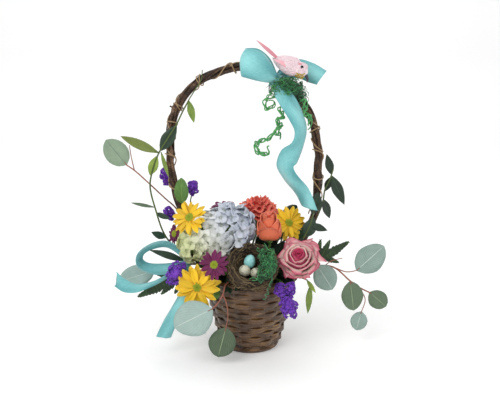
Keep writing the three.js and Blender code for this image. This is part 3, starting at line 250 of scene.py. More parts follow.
class Sheets:
    """Gathers surfaces in millimetres and makes one mesh of them."""

    def __init__(self):
        self.points = []
        self.faces = []
        self.uvs = []
        self.tones = []

    def grid(self, rows, tone=0.5, uv=None):
        """A surface through rows of points: u along each row, v from row to row. tone and uv may be rules."""
        start = len(self.points)
        wide = len(rows[0])
        high = len(rows)
        for r, row in enumerate(rows):
            for c, point in enumerate(row):
                self.points.append(point * MM)
                self.uvs.append(uv(r, c) if uv else (c / (wide - 1), r / (high - 1)))
                self.tones.append(tone(r, c) if callable(tone) else tone)
        for r in range(high - 1):
            for c in range(wide - 1):
                a = start + r * wide + c
                self.faces.append((a, a + 1, a + wide + 1, a + wide))
        return self

    def mesh(self, finish, thickness=0.0):
        """One mesh of everything gathered, given a thickness in millimetres if it is asked for."""
        mesh = bpy.data.meshes.new("sheets")
        mesh.from_pydata(self.points, [], self.faces)
        layer = mesh.uv_layers.new(name="run")
        for loop in mesh.loops:
            layer.data[loop.index].uv = self.uvs[loop.vertex_index]
        tones = mesh.attributes.new("tone", "FLOAT", "POINT")
        tones.data.foreach_set("value", self.tones)
        work = bmesh.new()
        work.from_mesh(mesh)
        bmesh.ops.remove_doubles(work, verts=work.verts, dist=0.004 * MM)
        bmesh.ops.recalc_face_normals(work, faces=work.faces)
        work.to_mesh(mesh)
        work.free()
        mesh.shade_smooth()
        mesh.materials.append(FINISHES[finish])
        return thickened(mesh, thickness * MM) if thickness else mesh


def thickened(mesh, thickness):
    """The mesh of a thin sheet with a front, a back and closed edges."""
    holder = linked("sheet", mesh)
    solid = holder.modifiers.new("thickness", "SOLIDIFY")
    solid.thickness = thickness
    solid.offset = 0
    return frozen(holder)


class Strands:
    """Gathers lines in millimetres and makes round strands along them."""

    def __init__(self):
        self.points = []
        self.edges = []
        self.radii = []
        self.tones = []

    def line(self, points, radius, tone, taper=lambda t: 1.0):
        """One strand. taper gives the share of the radius at each share of the length."""
        start = len(self.points)
        last = len(points) - 1
        for k, point in enumerate(points):
            self.points.append(point * MM)
            self.radii.append(radius * taper(k / last) * MM)
            self.tones.append(tone)
        self.edges += [(start + k, start + k + 1) for k in range(last)]
        return self

    def mesh(self, finish, sides=6):
        """All the strands as one mesh, with the given count of sides to each."""
        guide = point_guide(self.points, self.edges, radius=self.radii, tone=self.tones)
        return grown(guide, TREES["strands"], Sides=sides, Material=FINISHES[finish])


def point_guide(points, edges=(), **attributes):
    """An object of bare points and edges that carries named numbers or vectors for a tree to read."""
    mesh = bpy.data.meshes.new("guide")
    mesh.from_pydata(points, edges, [])
    for name, values in attributes.items():
        if isinstance(values[0], float):
            mesh.attributes.new(name, "FLOAT", "POINT").data.foreach_set("value", values)
        else:
            flat = [part for value in values for part in value]
            mesh.attributes.new(name, "FLOAT_VECTOR", "POINT").data.foreach_set("vector", flat)
    return linked("guide", mesh)


class Copies:
    """Gathers places for copies of one small shape."""

    def __init__(self, seed):
        self.random = random.Random(seed)
        self.points = []
        self.turns = []
        self.sizes = []
        self.tones = []

    def put(self, point, facing, size, spin=None, tone=None):
        """One copy whose own Z looks along facing."""
        angle = self.random.uniform(0, TURN) if spin is None else spin
        turn = facing.normalized().to_track_quat("Z", "Y") @ Quaternion(UP, angle)
        self.points.append(point * MM)
        self.turns.append(tuple(turn.to_euler()))
        self.sizes.append(float(size))
        self.tones.append(self.random.random() if tone is None else float(tone))

    def mesh(self, shape, finish):
        """All the copies of a mesh as one mesh."""
        sample = linked("sample", shape)
        guide = point_guide(self.points, turn=self.turns, size=self.sizes, tone=self.tones)
        mesh = grown(guide, TREES["copies"], Shape=sample, Material=FINISHES[finish])
        bpy.data.objects.remove(sample)
        return mesh


def joined(*meshes):
    """Several meshes as one, each keeping its own material."""
    made = bpy.data.meshes.new("joined")
    work = bmesh.new()
    for mesh in meshes:
        start = len(made.materials)
        for material in mesh.materials:
            made.materials.append(material)
        before = len(work.faces)
        work.from_mesh(mesh)
        work.faces.ensure_lookup_table()
        for face in work.faces[before:]:
            face.material_index += start
    work.to_mesh(made)
    work.free()
    return made


# ---- lines, outlines and frames
def vec(x, y, z):
    """A point or a direction."""
    return Vector((x, y, z))


def polar(angle, radius, height=0.0):
    """The point at an angle round the Z axis, in radians, a radius away from it."""
    return Vector((radius * math.cos(angle), radius * math.sin(angle), height))


def eased(pairs, t):
    """The value at t of a smooth line through (t, value) pairs."""
    ts = [pair[0] for pair in pairs]
    k = max(0, min(len(ts) - 2, bisect.bisect_right(ts, t) - 1))

    def slope(i):
        a, b = max(0, i - 1), min(len(ts) - 1, i + 1)
        return (pairs[b][1] - pairs[a][1]) / (ts[b] - ts[a])

    span = ts[k + 1] - ts[k]
    s = min(max((t - ts[k]) / span, 0), 1)
    low = (2 * s**3 - 3 * s**2 + 1) * pairs[k][1] + (s**3 - 2 * s**2 + s) * span * slope(k)
    return low + (3 * s**2 - 2 * s**3) * pairs[k + 1][1] + (s**3 - s**2) * span * slope(k + 1)


def smooth_line(points, step):
    """Points about a step apart on the smooth line through the given ones that the solids follow."""
    points = [Vector(p) for p in points]
    ends = [points[0] * 2 - points[1], *points, points[-1] * 2 - points[-2]]
    line = []
    for k in range(len(points) - 1):
        a, b, c, d = ends[k : k + 4]
        ab, bc, cd = (max(gap.length, 1e-4) ** 0.5 for gap in (b - a, c - b, d - c))
        leave = ((b - a) / ab - (c - a) / (ab + bc) + (c - b) / bc) * bc
        arrive = ((c - b) / bc - (d - b) / (bc + cd) + (d - c) / cd) * bc
        count = max(2, round((c - b).length / step))
        for i in range(count):
            s = i / count
            spot = b * (2 * s**3 - 3 * s**2 + 1) + leave * (s**3 - 2 * s**2 + s)
            line.append(spot + c * (3 * s**2 - 2 * s**3) + arrive * (s**3 - s**2))
    return [*line, points[-1]]


def distances(line):
    """How far along the line each of its points lies."""
    far = [0.0]
    for a, b in zip(line, line[1:]):
        far.append(far[-1] + (b - a).length)
    return far


def evenly(line, count):
    """The line again, as count + 1 points evenly spaced along it."""
    far = distances(line)
    spots = []
    for k in range(count + 1):
        goal = far[-1] * k / count
        i = min(len(line) - 2, max(0, bisect.bisect_right(far, goal) - 1))
        spots.append(line[i].lerp(line[i + 1], (goal - far[i]) / max(far[i + 1] - far[i], 1e-6)))
    return spots


def stance(centre, facing, spin=0.0):
    """Where a bloom stands, in millimetres: its Z turned to face a direction, then spun about it."""
    turn = UP.rotation_difference(Vector(facing).normalized()) @ Quaternion(UP, math.radians(spin))
    return Matrix.LocRotScale(Vector(centre), turn, None)


# ---- patterns and finishes
def surface(name, roughness, **constants):
    """A new material: its tree's own add function and its shader, whose constants are set on its sockets."""
    made = bpy.data.materials.new(name)
    made.use_nodes = True
    shader = made.node_tree.nodes["Principled BSDF"]
    shader.inputs["Roughness"].default_value = roughness
    for label, value in constants.items():
        shader.inputs[label.replace("_", " ")].default_value = value
    return made, partial(add, made.node_tree), shader


def skin(node, shader, shade, height, depth_mm):
    """Gives a shader its colour and a relief of the given depth."""
    raised = node("ShaderNodeBump", {"Height": height, "Distance": depth_mm * MM, "Strength": 1.0})
    tree = shader.id_data
    tree.links.new(next(socket for socket in shade.outputs if socket.enabled), shader.inputs["Base Color"])
    tree.links.new(raised.outputs[0], shader.inputs["Normal"])


def cloud(node, size_mm, detail=2.0):
    """Soft patches of about the given size all over the piece."""
    place = node("ShaderNodeTexCoord").outputs["Object"]
    return node("ShaderNodeTexNoise", {"Vector": place, "Scale": 1000 / size_mm, "Detail": detail})


def streaks(node, across, along):
    """Fibres or veins that follow the piece: how many lie across it, and how often they change along it."""
    place = node(
        "ShaderNodeMapping", {"Vector": node("ShaderNodeUVMap", uv_map="run"), "Scale": (across, along, 1)}
    )
    return node("ShaderNodeTexNoise", {"Vector": place, "Scale": 1.0, "Detail": 2.0})


def weighed(node, first, share, second, rest, base=0.0):
    """The sum of two numbers, each times its share, and a base."""
    part = node("ShaderNodeMath", {0: first, 1: share, 2: base}, operation="MULTIPLY_ADD")
    return node("ShaderNodeMath", {0: second, 1: rest, 2: part}, operation="MULTIPLY_ADD")


def tone_of(node):
    """The number from 0 to 1 that sets one leaf, petal or strand apart from the next; on the ribbons it
    carries their painted highlights and painted shade instead.
    """
    return node("ShaderNodeAttribute", attribute_name="tone").outputs["Fac"]


def shaded(node, shade, darkest=0.78, spread=0.3):
    """The colour, a little darker on some petals than on others."""
    light = node("ShaderNodeMath", {0: tone_of(node), 1: spread, 2: darkest}, operation="MULTIPLY_ADD")
    grey = node("ShaderNodeCombineColor", {0: light, 1: light, 2: light})
    return node("ShaderNodeMix", {0: 1.0, 6: shade, 7: grey}, data_type="RGBA", blend_type="MULTIPLY")


def petal_finish(name, foot, middle, rim, rim_start, veins, roughness=0.5, streak=0.5):
    """Fresh petal: thin, soft and a little translucent, with fine veins that run from its foot to its rim."""
    made, node, shader = surface(name, roughness, Subsurface_Weight=0.12, Sheen_Weight=0.12)
    shader.inputs["Subsurface Radius"].default_value = (1.2 * MM, 0.6 * MM, 0.4 * MM)
    along = node("ShaderNodeSeparateXYZ", {0: node("ShaderNodeUVMap", uv_map="run")}).outputs["Y"]
    base = node(
        "ShaderNodeValToRGB", {0: along}, stops=((0.0, foot), (1.0, rim), (0.3, middle), (rim_start, middle))
    )
    veined = streaks(node, veins, 1.6)
    share = node("ShaderNodeMath", {0: veined, 1: streak}, operation="MULTIPLY")
    dark = node("ShaderNodeMix", {0: 1.0, 6: base, 7: "#c9bfb8"}, data_type="RGBA", blend_type="MULTIPLY")
    shade = node("ShaderNodeMix", {0: share, 6: base, 7: dark}, data_type="RGBA")
    skin(node, shader, shaded(node, shade), veined, 0.35)
    return made


def leaf_finish(
    name, face, deep, vein, pairs, lean, roughness=0.5, coat=0.0, width=0.07, strength=0.45
):
    """Living leaf: waxy skin over flesh, a pale midrib, side veins off it, blotches of darker green."""
    made, node, shader = surface(
        name, roughness, Subsurface_Weight=0.05, Coat_Weight=coat, Coat_Roughness=0.3
    )
    shader.inputs["Subsurface Radius"].default_value = (0.5 * MM, 0.9 * MM, 0.3 * MM)
    run = node("ShaderNodeSeparateXYZ", {0: node("ShaderNodeUVMap", uv_map="run")})
    side = node("ShaderNodeMath", {0: run.outputs["X"], 1: 0.5}, operation="SUBTRACT")
    off = node("ShaderNodeMath", {0: side}, operation="ABSOLUTE")
    rib = node("ShaderNodeMath", {0: off, 1: 0.013}, operation="LESS_THAN")
    slant = weighed(node, run.outputs["Y"], pairs, off, -lean * pairs)
    saw = node("ShaderNodeMath", {0: slant, 1: 0.5}, operation="PINGPONG")
    near = node("ShaderNodeMath", {0: saw, 1: -1 / width, 2: 1.0}, operation="MULTIPLY_ADD")
    fork = node("ShaderNodeMath", {0: near, 1: 0.0}, operation="MAXIMUM")
    faint = node("ShaderNodeMath", {0: fork, 1: strength}, operation="MULTIPLY")
    lines = node("ShaderNodeMath", {0: rib, 1: faint}, operation="MAXIMUM")
    share = weighed(node, cloud(node, 10.0, 3.0), 0.9, tone_of(node), 0.8, -0.45)
    flesh = node("ShaderNodeMix", {0: share, 6: face, 7: deep}, data_type="RGBA")
    shade = node("ShaderNodeMix", {0: lines, 6: flesh, 7: vein}, data_type="RGBA")
    relief = weighed(node, lines, -0.8, cloud(node, 2.4), 0.2, 0.8)
    skin(node, shader, shade, relief, 0.3)
    return made


def stem_finish(name, young, old):
    """Plant stem: a smooth skin that reddens or yellows along its length, with faint fibres."""
    made, node, shader = surface(name, 0.55)
    share = weighed(node, cloud(node, 16.0, 3.0), 1.2, tone_of(node), 0.5, -0.35)
    shade = node("ShaderNodeMix", {0: share, 6: young, 7: old}, data_type="RGBA")
    skin(node, shader, shade, cloud(node, 1.2, 1.0), 0.15)
    return made


def fibre_finish(name, shades, grain=2.0, patch=14.0, relief=0.8, tone=0.12):
    """Dried plant fibre, from its dark skin to the paler wood that shows where the skin is worn."""
    made, node, shader = surface(name, 0.82)
    fine = cloud(node, grain, 3.0)
    worn = weighed(node, fine, 0.6, cloud(node, patch, 3.0), 0.45)
    shift = node("ShaderNodeMath", {0: tone_of(node), 1: tone, 2: worn}, operation="MULTIPLY_ADD")
    stops = tuple(zip((0.36, 0.78, 0.52, 0.64), shades))
    skin(node, shader, node("ShaderNodeValToRGB", {0: shift}, stops=stops), worn, relief)
    return made


def reed_finish(main):
    """Split reed, stained dark: straight grain with lighter worn fibres, a satin skin on the outer face."""
    made, node, shader = surface("Stained split reed", 0.4, Coat_Weight=0.25, Coat_Roughness=0.3)
    # fibres 1.1 mm apart up the reed, drawn coarser than real so that they show, and 60 mm long along it
    place = node("ShaderNodeTexCoord").outputs["Object"]
    drawn = node("ShaderNodeMapping", {"Vector": place, "Scale": (16.0, 16.0, 900.0)})
    grain = node("ShaderNodeTexNoise", {"Vector": drawn, "Scale": 1.0, "Detail": 3.0, "Roughness": 0.6})
    worn = weighed(node, grain, 0.75, cloud(node, 22.0), 0.35)
    stops = ((0.34, "#150d06"), (0.8, "#bd9860"), (0.52, main), (0.66, "#79562f"))
    skin(node, shader, node("ShaderNodeValToRGB", {0: worn}, stops=stops), grain, 0.5)
    return made


def moss_finish(main):
    """Dyed reindeer moss: springy green strands, each a shade of its own, with a dry matt skin."""
    made, node, shader = surface("Dyed curly moss", 0.75, Sheen_Weight=0.25)
    stops = ((0.0, "#0f3320"), (1.0, "#5fae62"), (0.45, main), (0.8, "#3b9552"))
    skin(node, shader, node("ShaderNodeValToRGB", {0: tone_of(node)}, stops=stops), cloud(node, 1.4), 0.3)
    return made


def egg_finish(name, shell, fleck, spread):
    """Craft egg: a satin painted shell, flicked with specks of two sizes."""
    made, node, shader = surface(name, 0.36, Coat_Weight=0.12)
    place = node("ShaderNodeTexCoord").outputs["Object"]
    wide = node("ShaderNodeTexVoronoi", {"Vector": place, "Scale": 300.0})
    fine = node("ShaderNodeTexVoronoi", {"Vector": place, "Scale": 800.0})
    big = node("ShaderNodeMath", {0: wide.outputs["Distance"], 1: 0.17 * spread}, operation="LESS_THAN")
    small = node("ShaderNodeMath", {0: fine.outputs["Distance"], 1: 0.16}, operation="LESS_THAN")
    specks = node("ShaderNodeMath", {0: big, 1: small}, operation="MAXIMUM")
    wash = cloud(node, 8.0, 3.0)
    washed = node("ShaderNodeMix", {0: wash, 6: shell, 7: fleck}, data_type="RGBA")
    shade = node("ShaderNodeMix", {0: specks, 6: washed, 7: "#4a4438"}, data_type="RGBA")
    skin(node, shader, shade, wash, 0.1)
    return made


def ribbon_finish(main):
    """Dyed ribbon: a plain weave with slubs along it and a soft sheen, over painted highlights and painted
    shade of its folds.
    """
    made, node, shader = surface("Woven ribbon", 0.58, Sheen_Weight=0.5, Sheen_Roughness=0.4)
    # its texture coordinates are in centimetres; threads 0.9 mm apart, coarser than real so that they show
    place = node("ShaderNodeUVMap", uv_map="run")
    along = node("ShaderNodeTexWave", {"Vector": place, "Scale": 3.5}, bands_direction="X")
    across = node("ShaderNodeTexWave", {"Vector": place, "Scale": 3.5}, bands_direction="Y")
    threads = node(
        "ShaderNodeMath", {0: along.outputs["Fac"], 1: across.outputs["Fac"]}, operation="MULTIPLY"
    )
    slub = streaks(node, 14.0, 1.6)
    # a paler and a deeper aqua: the weave and the slubs swing between them, and so do the painted highlights
    # and painted shade that the tone carries
    light = node("ShaderNodeMix", {0: 0.5, 6: main, 7: "#b4f0f0"}, data_type="RGBA")
    dark = node("ShaderNodeMix", {0: 0.6, 6: main, 7: "#2f7f86"}, data_type="RGBA")
    fold = weighed(node, threads, 0.4, slub, 0.9, -0.52)
    # the tone adds the painted shade of the folds and the painted highlights where the cloth bellies out
    share = node(
        "ShaderNodeMath", {0: tone_of(node), 1: 0.75, 2: fold}, operation="MULTIPLY_ADD", use_clamp=True
    )
    shade = node("ShaderNodeMix", {0: share, 6: dark, 7: light}, data_type="RGBA")
    skin(node, shader, shade, share, 0.2)
    return made


def feather_finish(name, near, far):
    """Dyed craft feather: soft barbs off a paler shaft, lighter at the tip."""
    made, node, shader = surface(name, 0.8, Sheen_Weight=0.3)
    run = node("ShaderNodeSeparateXYZ", {0: node("ShaderNodeUVMap", uv_map="run")})
    share = weighed(node, run.outputs["Y"], 0.7, tone_of(node), 0.5)
    shade = node("ShaderNodeMix", {0: share, 6: near, 7: far}, data_type="RGBA")
    skin(node, shader, shade, streaks(node, 6.0, 30.0), 0.25)
    return made


def mottled_finish(name, main, other, roughness, size_mm=3.0, depth=0.1, **constants):
    """One material with a soft mottle of a second shade."""
    made, node, shader = surface(name, roughness, **constants)
    mottle = cloud(node, size_mm, 3.0)
    shade = node("ShaderNodeMix", {0: mottle, 6: main, 7: other}, data_type="RGBA")
    skin(node, shader, shade, mottle, depth)
    return made


def hydrangea_finish(main):
    """Hydrangea petals: cream and green where they are young, to blue-white where they have opened."""
    made, node, shader = surface("Hydrangea petals", 0.5, Subsurface_Weight=0.05, Sheen_Weight=0.1)
    shader.inputs["Subsurface Radius"].default_value = (0.8 * MM, 0.9 * MM, 1.0 * MM)
    place = node("ShaderNodeSeparateXYZ", {0: node("ShaderNodeTexCoord").outputs["Object"]})
    # the youngest florets lie low and left on the head, whose middle is at X -49 and Z 187 mm
    openness = weighed(node, place.outputs["X"], 10.0, place.outputs["Z"], 7.0, -0.49)
    age = node("ShaderNodeMath", {0: tone_of(node), 1: 0.55, 2: openness}, operation="MULTIPLY_ADD")
    stops = ((0.15, "#dbe09c"), (1.0, main), (0.42, "#f3f3d8"), (0.72, "#f1f3f2"))
    opened = node("ShaderNodeValToRGB", {0: age}, stops=stops)
    along = node("ShaderNodeSeparateXYZ", {0: node("ShaderNodeUVMap", uv_map="run")}).outputs["Y"]
    # each petal greener and darker towards its foot: partly the floret's own green heart, partly painted
    # shade where its petals meet
    heart = node("ShaderNodeMath", {0: along, 1: -1.6, 2: 0.5}, operation="MULTIPLY_ADD", use_clamp=True)
    veined = streaks(node, 14.0, 3.0)
    faint = node("ShaderNodeMath", {0: veined, 1: 0.3}, operation="MULTIPLY")
    green = node("ShaderNodeMix", {0: heart, 6: opened, 7: "#a9b87c"}, data_type="RGBA")
    shade = node("ShaderNodeMix", {0: faint, 6: green, 7: "#a3acc4"}, data_type="RGBA")
    skin(node, shader, shaded(node, shade, 0.82, 0.24), veined, 0.3)
    return made


def make_finishes():
    """Every finish by name, made once the settings are there."""
    chosen = bpy.context.scene.arrangement_colours
    pick = {name: tuple(getattr(chosen, name)) for name in chosen.__annotations__}
    FINISHES.update(
        # dark stain that catches the light on each outer bow, worn pale along the grain
        reed=reed_finish(pick["reed"]),
        # dark ridged skin of the vines, flaked in places to the paler wood
        bark=fibre_finish("Dried vine bark", ("#170f0b", "#8f7156", "#34251b", "#553d2d")),
        # shiny tan bark side of cane, in yellower and browner lengths
        cane=mottled_finish("Split cane", "#b59a74", "#77593a", 0.45, 8.0, 0.2),
        # crumbly, its green painted so dark that it stands as painted shade in the gaps between the flowers
        foam=mottled_finish("Wet floral foam", "#1d3218", "#47693a", 0.9, 1.5, 0.6),
        # smooth thin plastic with a dull shine
        liner=mottled_finish("Green liner plastic", "#24352a", "#3b4d3a", 0.35, 25.0),
        # deep yellow at the disc to lemon at the tip
        yellow=petal_finish(
            "Yellow daisy petal", "#eba60a", pick["yellow"], "#ffe54e", 0.9, 12.0, streak=0.35
        ),
        # wine red that pales at the foot, silky where it turns up
        magenta=petal_finish("Magenta daisy petal", "#a03c82", pick["magenta"], "#8a1668", 0.9, 12.0),
        # tight green knobs, yellow where the florets have opened
        eye=mottled_finish("Daisy disc florets", "#6f8f1e", "#b9bf2c", 0.7, 1.2),
        # cream petals edged with pink, rosier towards the heart
        rose=petal_finish("Bicolour rose petal", "#efe3bf", "#f6e4d6", pick["rose"], 0.81, 18.0, 0.45, 0.3),
        rose_heart=petal_finish(
            "Rose inner petal", "#e2958f", "#da6484", pick["rose"], 0.45, 18.0, 0.45, 0.3
        ),
        # warm orange foot under a coral rim
        coral=petal_finish("Coral rosebud petal", "#f6a062", pick["coral"], "#f2896f", 0.7, 20.0, 0.42, 0.3),
        # frilled red, lighter along the pinked rim
        carnation=petal_finish("Carnation petal", "#c93a34", pick["carnation"], "#ff8a72", 0.75, 14.0, 0.6),
        # nearly white, with the green of young florets low on the head
        hydrangea=hydrangea_finish(pick["hydrangea"]),
        # violet paper cups that dry darker at the rim
        statice=petal_finish("Papery statice cup", "#cfa9f8", pick["statice"], "#7a2fd2", 0.8, 8.0, 0.7),
        # smooth stems: green, reddened by the sun, or dull olive
        stem=stem_finish("Green stem", "#5e8a3a", "#3a5a26"),
        red_stem=stem_finish("Red eucalyptus stem", "#a8604e", "#6f4a3a"),
        vine_stem=stem_finish("Smilax stem", "#5c6f34", "#33401f"),
        # blue-grey bloom over the leaf that hides its shine
        eucalyptus=leaf_finish(
            "Waxy eucalyptus leaf", pick["eucalyptus"], "#7f978c", "#cfdcd3", 11.0, 1.2, 0.55, strength=0.65
        ),
        pale_leaf=leaf_finish("Pale eucalyptus leaf", "#a3b49a", "#7f957d", "#5f7a62", 11.0, 1.2),
        # thinner leaves with a low shine and pale veins
        olive_leaf=leaf_finish("Olive leaf", "#76853a", "#566327", "#97a454", 7.0, 1.0, 0.42, 0.1),
        grey_leaf=leaf_finish("Bare eucalyptus leaf", "#5d7158", "#44583f", "#9fb088", 11.0, 1.2),
        # leathery dark greens, glossy where they face the light
        fern=leaf_finish("Leatherleaf fern", "#2f4a26", "#182a16", "#4b6a35", 12.0, 1.0, 0.45),
        dark_leaf=leaf_finish("Glossy dark leaf", "#213c27", "#101f15", "#4a6a45", 8.0, 1.2, 0.42, 0.1),
        # young yellow-green leaf, glossy and nearly without veins
        light_leaf=leaf_finish("Smilax leaf", "#93ab3e", "#5f7a2c", "#b9c66a", 3.0, 0.4, 0.4, 0.15, 0.05),
        sepal=leaf_finish("Sepal", "#5f8a3c", "#3c5f2a", "#86a65a", 5.0, 0.6, 0.55),
        # weathered twigs: each strand is its own brown, grey or straw
        twig=fibre_finish(
            "Dry twigs and grass", ("#0c0805", "#736144", "#20160e", "#3a2b1b"), 3.0, 20.0, 0.2, 0.4
        ),
        # deep green springs tipped with brighter green
        moss=moss_finish(pick["moss"]),
        # satin shells: robin blue with few specks, cream with many
        blue_egg=egg_finish("Pale blue craft egg", "#a6e0dd", "#7cc4c4", 0.5),
        speckled_egg=egg_finish("Speckled craft egg", "#ded9c4", "#a5a78f", 1.6),
        # soft matt down, each feather its own pink or mustard
        feather=feather_finish("Pale pink feather", pick["bird"], "#f9e6ea"),
        wing=feather_finish("Rose pink feather", "#dc7f8d", "#f2b7c0"),
        throat=feather_finish("Mustard feather", "#a5841a", "#cdb02f"),
        # horn-grey bill with a blunt shine
        bill=mottled_finish("Craft bird bill", "#2c2c31", "#55555d", 0.35),
        # black glass with one sharp highlight
        bead=mottled_finish("Black bead eye", "#040404", "#0c0c0e", 0.08),
        # aqua cloth, with painted highlights on the folds and painted shade deep in the creases
        ribbon=ribbon_finish(pick["ribbon"]),
        # matt white paper sweep that glows faintly of its own so that it stays white
        paper=mottled_finish(
            "Matt backdrop paper", "#f6f6f5", "#f9f9f8", 0.9, 400.0, 0.2, Emission_Strength=0.14
        ),
    )


# ---- shapes that many pieces share
POINTED = ((0, 0.1), (0.18, 0.65), (0.45, 1), (0.78, 0.58), (1, 0.0))
ROUND = ((0, 0.08), (0.12, 0.6), (0.4, 1), (0.7, 0.88), (0.92, 0.44), (1, 0.0))
SLENDER = ((0, 0.15), (0.3, 0.9), (0.6, 1), (0.85, 0.5), (1, 0.0))


def leaf_frame(root, tip, facing):
    """The ways along a leaf, to its side and up from its face."""
    along = (tip - root).normalized()
    side = along.cross(Vector(facing)).normalized()
    return along, side, side.cross(along)


def blade(
    sheets, root, tip, half, outline=POINTED, facing=FRONT, fold=0.15, bow=0.0, tone=0.5, wave=0.0
):
    """A leaf between two points: it bows along its length, folds at its midrib and may wave at its edge."""
    root, tip = Vector(root), Vector(tip)
    _, side, up = leaf_frame(root, tip, facing)
    steps = max(6, min(14, round((tip - root).length / 3.5)))
    rows = []
    for k in range(steps + 1):
        t = (1 - math.cos(math.pi * k / steps)) / 2
        middle = root.lerp(tip, t) + up * bow * 4 * t * (1 - t)
        width = max(half * eased(outline, t), 0.12)
        row = []
        for s in (-1, -0.62, -0.28, 0, 0.28, 0.62, 1):
            rise = fold * half * abs(s) ** 1.3 + wave * half * s * math.sin(9 * t + 5 * tone) * abs(s)
            row.append(middle + side * width * s + up * rise * (width / half))
        rows.append(row)
    return sheets.grid(rows, tone)


def planted(mouth, route):
    """The line of a stem: from 15 mm inside the foam, out of its mouth and along its route."""
    way = ((Vector(route[0]) - mouth).normalized() + UP).normalized()
    return [mouth - way * 15, mouth - way * 7, mouth, mouth + way * 3, *route]


def entry(angle, radius=43.0):
    """The point of the foam's domed top where a stem goes in, at an angle in degrees."""
    dome = FOAM_DOME * (1 - (radius / FOAM_RADIUS) ** 2)
    return polar(math.radians(angle), radius, FOAM_EDGE + dome)


def revolved(profile, around):
    """A turned surface through (radius, height) points, closed at a point of no radius."""
    rows = []
    for p in smooth_line([vec(r, 0, z) for r, z in profile], 2.0):
        radius = max(p.x, 0.0)
        rows.append([polar(TURN * (k % around) / around, radius, p.z) for k in range(around + 1)])
    return rows


def ball(centre, semi, around, high, turn=None, lumps=0.0, seed=0):
    """An ellipsoid, lumpy if asked, closed at its poles."""
    dice = random.Random(seed)
    waves = [(dice.uniform(2, 5), dice.uniform(0, TURN), dice.uniform(2, 4)) for _ in range(3)]
    centre = Vector(centre)
    rows = []
    for r in range(high + 1):
        tilt = math.pi * r / high
        row = []
        for k in range(around + 1):
            angle = TURN * (k % around) / around
            rough = sum(math.sin(round(a) * angle + b) * math.sin(c * tilt) for a, b, c in waves)
            x = semi[0] * math.sin(tilt) * math.cos(angle)
            y = semi[1] * math.sin(tilt) * math.sin(angle)
            p = vec(x, y, -semi[2] * math.cos(tilt)) * (1 + lumps * rough * math.sin(tilt))
            row.append(centre + (turn @ p if turn else p))
        rows.append(row)
    return rows


def petal_rows(
    length, half, cup, lift, tip, groove=0.0, curl=0.0, *, across, foot, along=9, foot_width=0.35
):
    """A petal that lies out along +X from its foot, hollowed by cup and grooved along its length."""
    rows = []
    for r in range(along + 1):
        t = r / along
        width = half * eased(((0, foot_width), (0.35, 0.82), (0.7, 1.0), (0.92, 0.78), (1, tip * 0.55)), t)
        reach = foot + (length - foot) * t
        row = []
        for c in range(across + 1):
            s = 2 * c / across - 1
            x = reach - (length - foot) * 0.1 * abs(s) ** 2.5 * t * t
            furrow = groove * math.cos(s * TURN * 0.75) * math.sin(math.pi * t)
            z = lift * t + cup * (s * s) * half + curl * t * t - furrow
            row.append(vec(x, s * width, z))
        rows.append(row)
    return rows


def placed_rows(rows, matrix):
    """Rows of points carried by a matrix that works in millimetres."""
    return [[matrix @ p for p in row] for row in rows]


def turned(angle, tilt, height):
    """A matrix in millimetres: tilted up about its own foot, turned about Z, then raised."""
    raised = Matrix.Translation((0, 0, height))
    return raised @ Matrix.Rotation(angle, 4, "Z") @ Matrix.Rotation(-tilt, 4, "Y")


# ---- basket and handle
LEAFLET = ((0, 0.7), (0.3, 1), (0.7, 0.6), (1, 0.0))
# how far inside the wall's outer radius the reeds and the lining stand
REED_INSET = 2.2
LINING_INSET = 3.1
WEAVE_FOOT = 4.0
ROW_PITCH = 8.35
ROWS = 13
ROW_POINTS = 144
# share of the handle's length at which its bow is tied
KNOT_SHARE = 0.435
HANDLE_POINTS = (
    (50.2, 70), (57.8, 115), (79, 160), (97, 213), (101.5, 265), (98, 322), (84, 366), (33, 411),
    (-12, 427), (-57, 417), (-92, 391), (-113, 350), (-117.5, 300), (-113, 255), (-100, 205), (-78, 155),
    (-57.8, 115), (-50.2, 70),
)
HANDLE = evenly(smooth_line([vec(x, 0, z) for x, z in HANDLE_POINTS], 2.0), 400)


def side_radius(z):
    """Outer radius of the basket's wall: 46 mm at its foot, which is tucked in, and 73 mm at its rim."""
    return 46 + 27 * z / 115 - 10 * max(0, 1 - z / 20) ** 2


def around_handle(u, angle, distance):
    """A point beside the handle's middle line, at a share u of its length."""
    spot = u * (len(HANDLE) - 1)
    k = min(int(spot), len(HANDLE) - 2)
    centre = HANDLE[k].lerp(HANDLE[k + 1], spot - k)
    side = (HANDLE[k + 1] - HANDLE[k]).normalized().cross(-FRONT).normalized()
    return centre + side * distance * math.cos(angle) + vec(0, distance * math.sin(angle), 0)


def woven_rows():
    """The flat reeds of the basket's wall: one ring for each row, which swings over and under the stakes."""
    sizes = bpy.context.scene.arrangement_sizes
    points, edges = [], []
    for row in range(ROWS):
        height = WEAVE_FOOT + ROW_PITCH * (row + 0.5)
        start = row * ROW_POINTS
        for k in range(ROW_POINTS):
            angle = TURN * k / ROW_POINTS
            swing = sizes.relief / MM * math.cos(angle * sizes.stakes / 2 + math.pi * row)
            wander = 0.35 * math.sin(3 * row + k / 9)
            points.append(polar(angle, side_radius(height) - REED_INSET + swing, height + wander) * MM)
            edges.append((start + k, start + (k + 1) % ROW_POINTS))
    return grown(
        point_guide(points, edges),
        TREES["weave"],
        Height=sizes.reed_height,
        Thickness=sizes.reed_thickness,
        Material=FINISHES["reed"],
    )


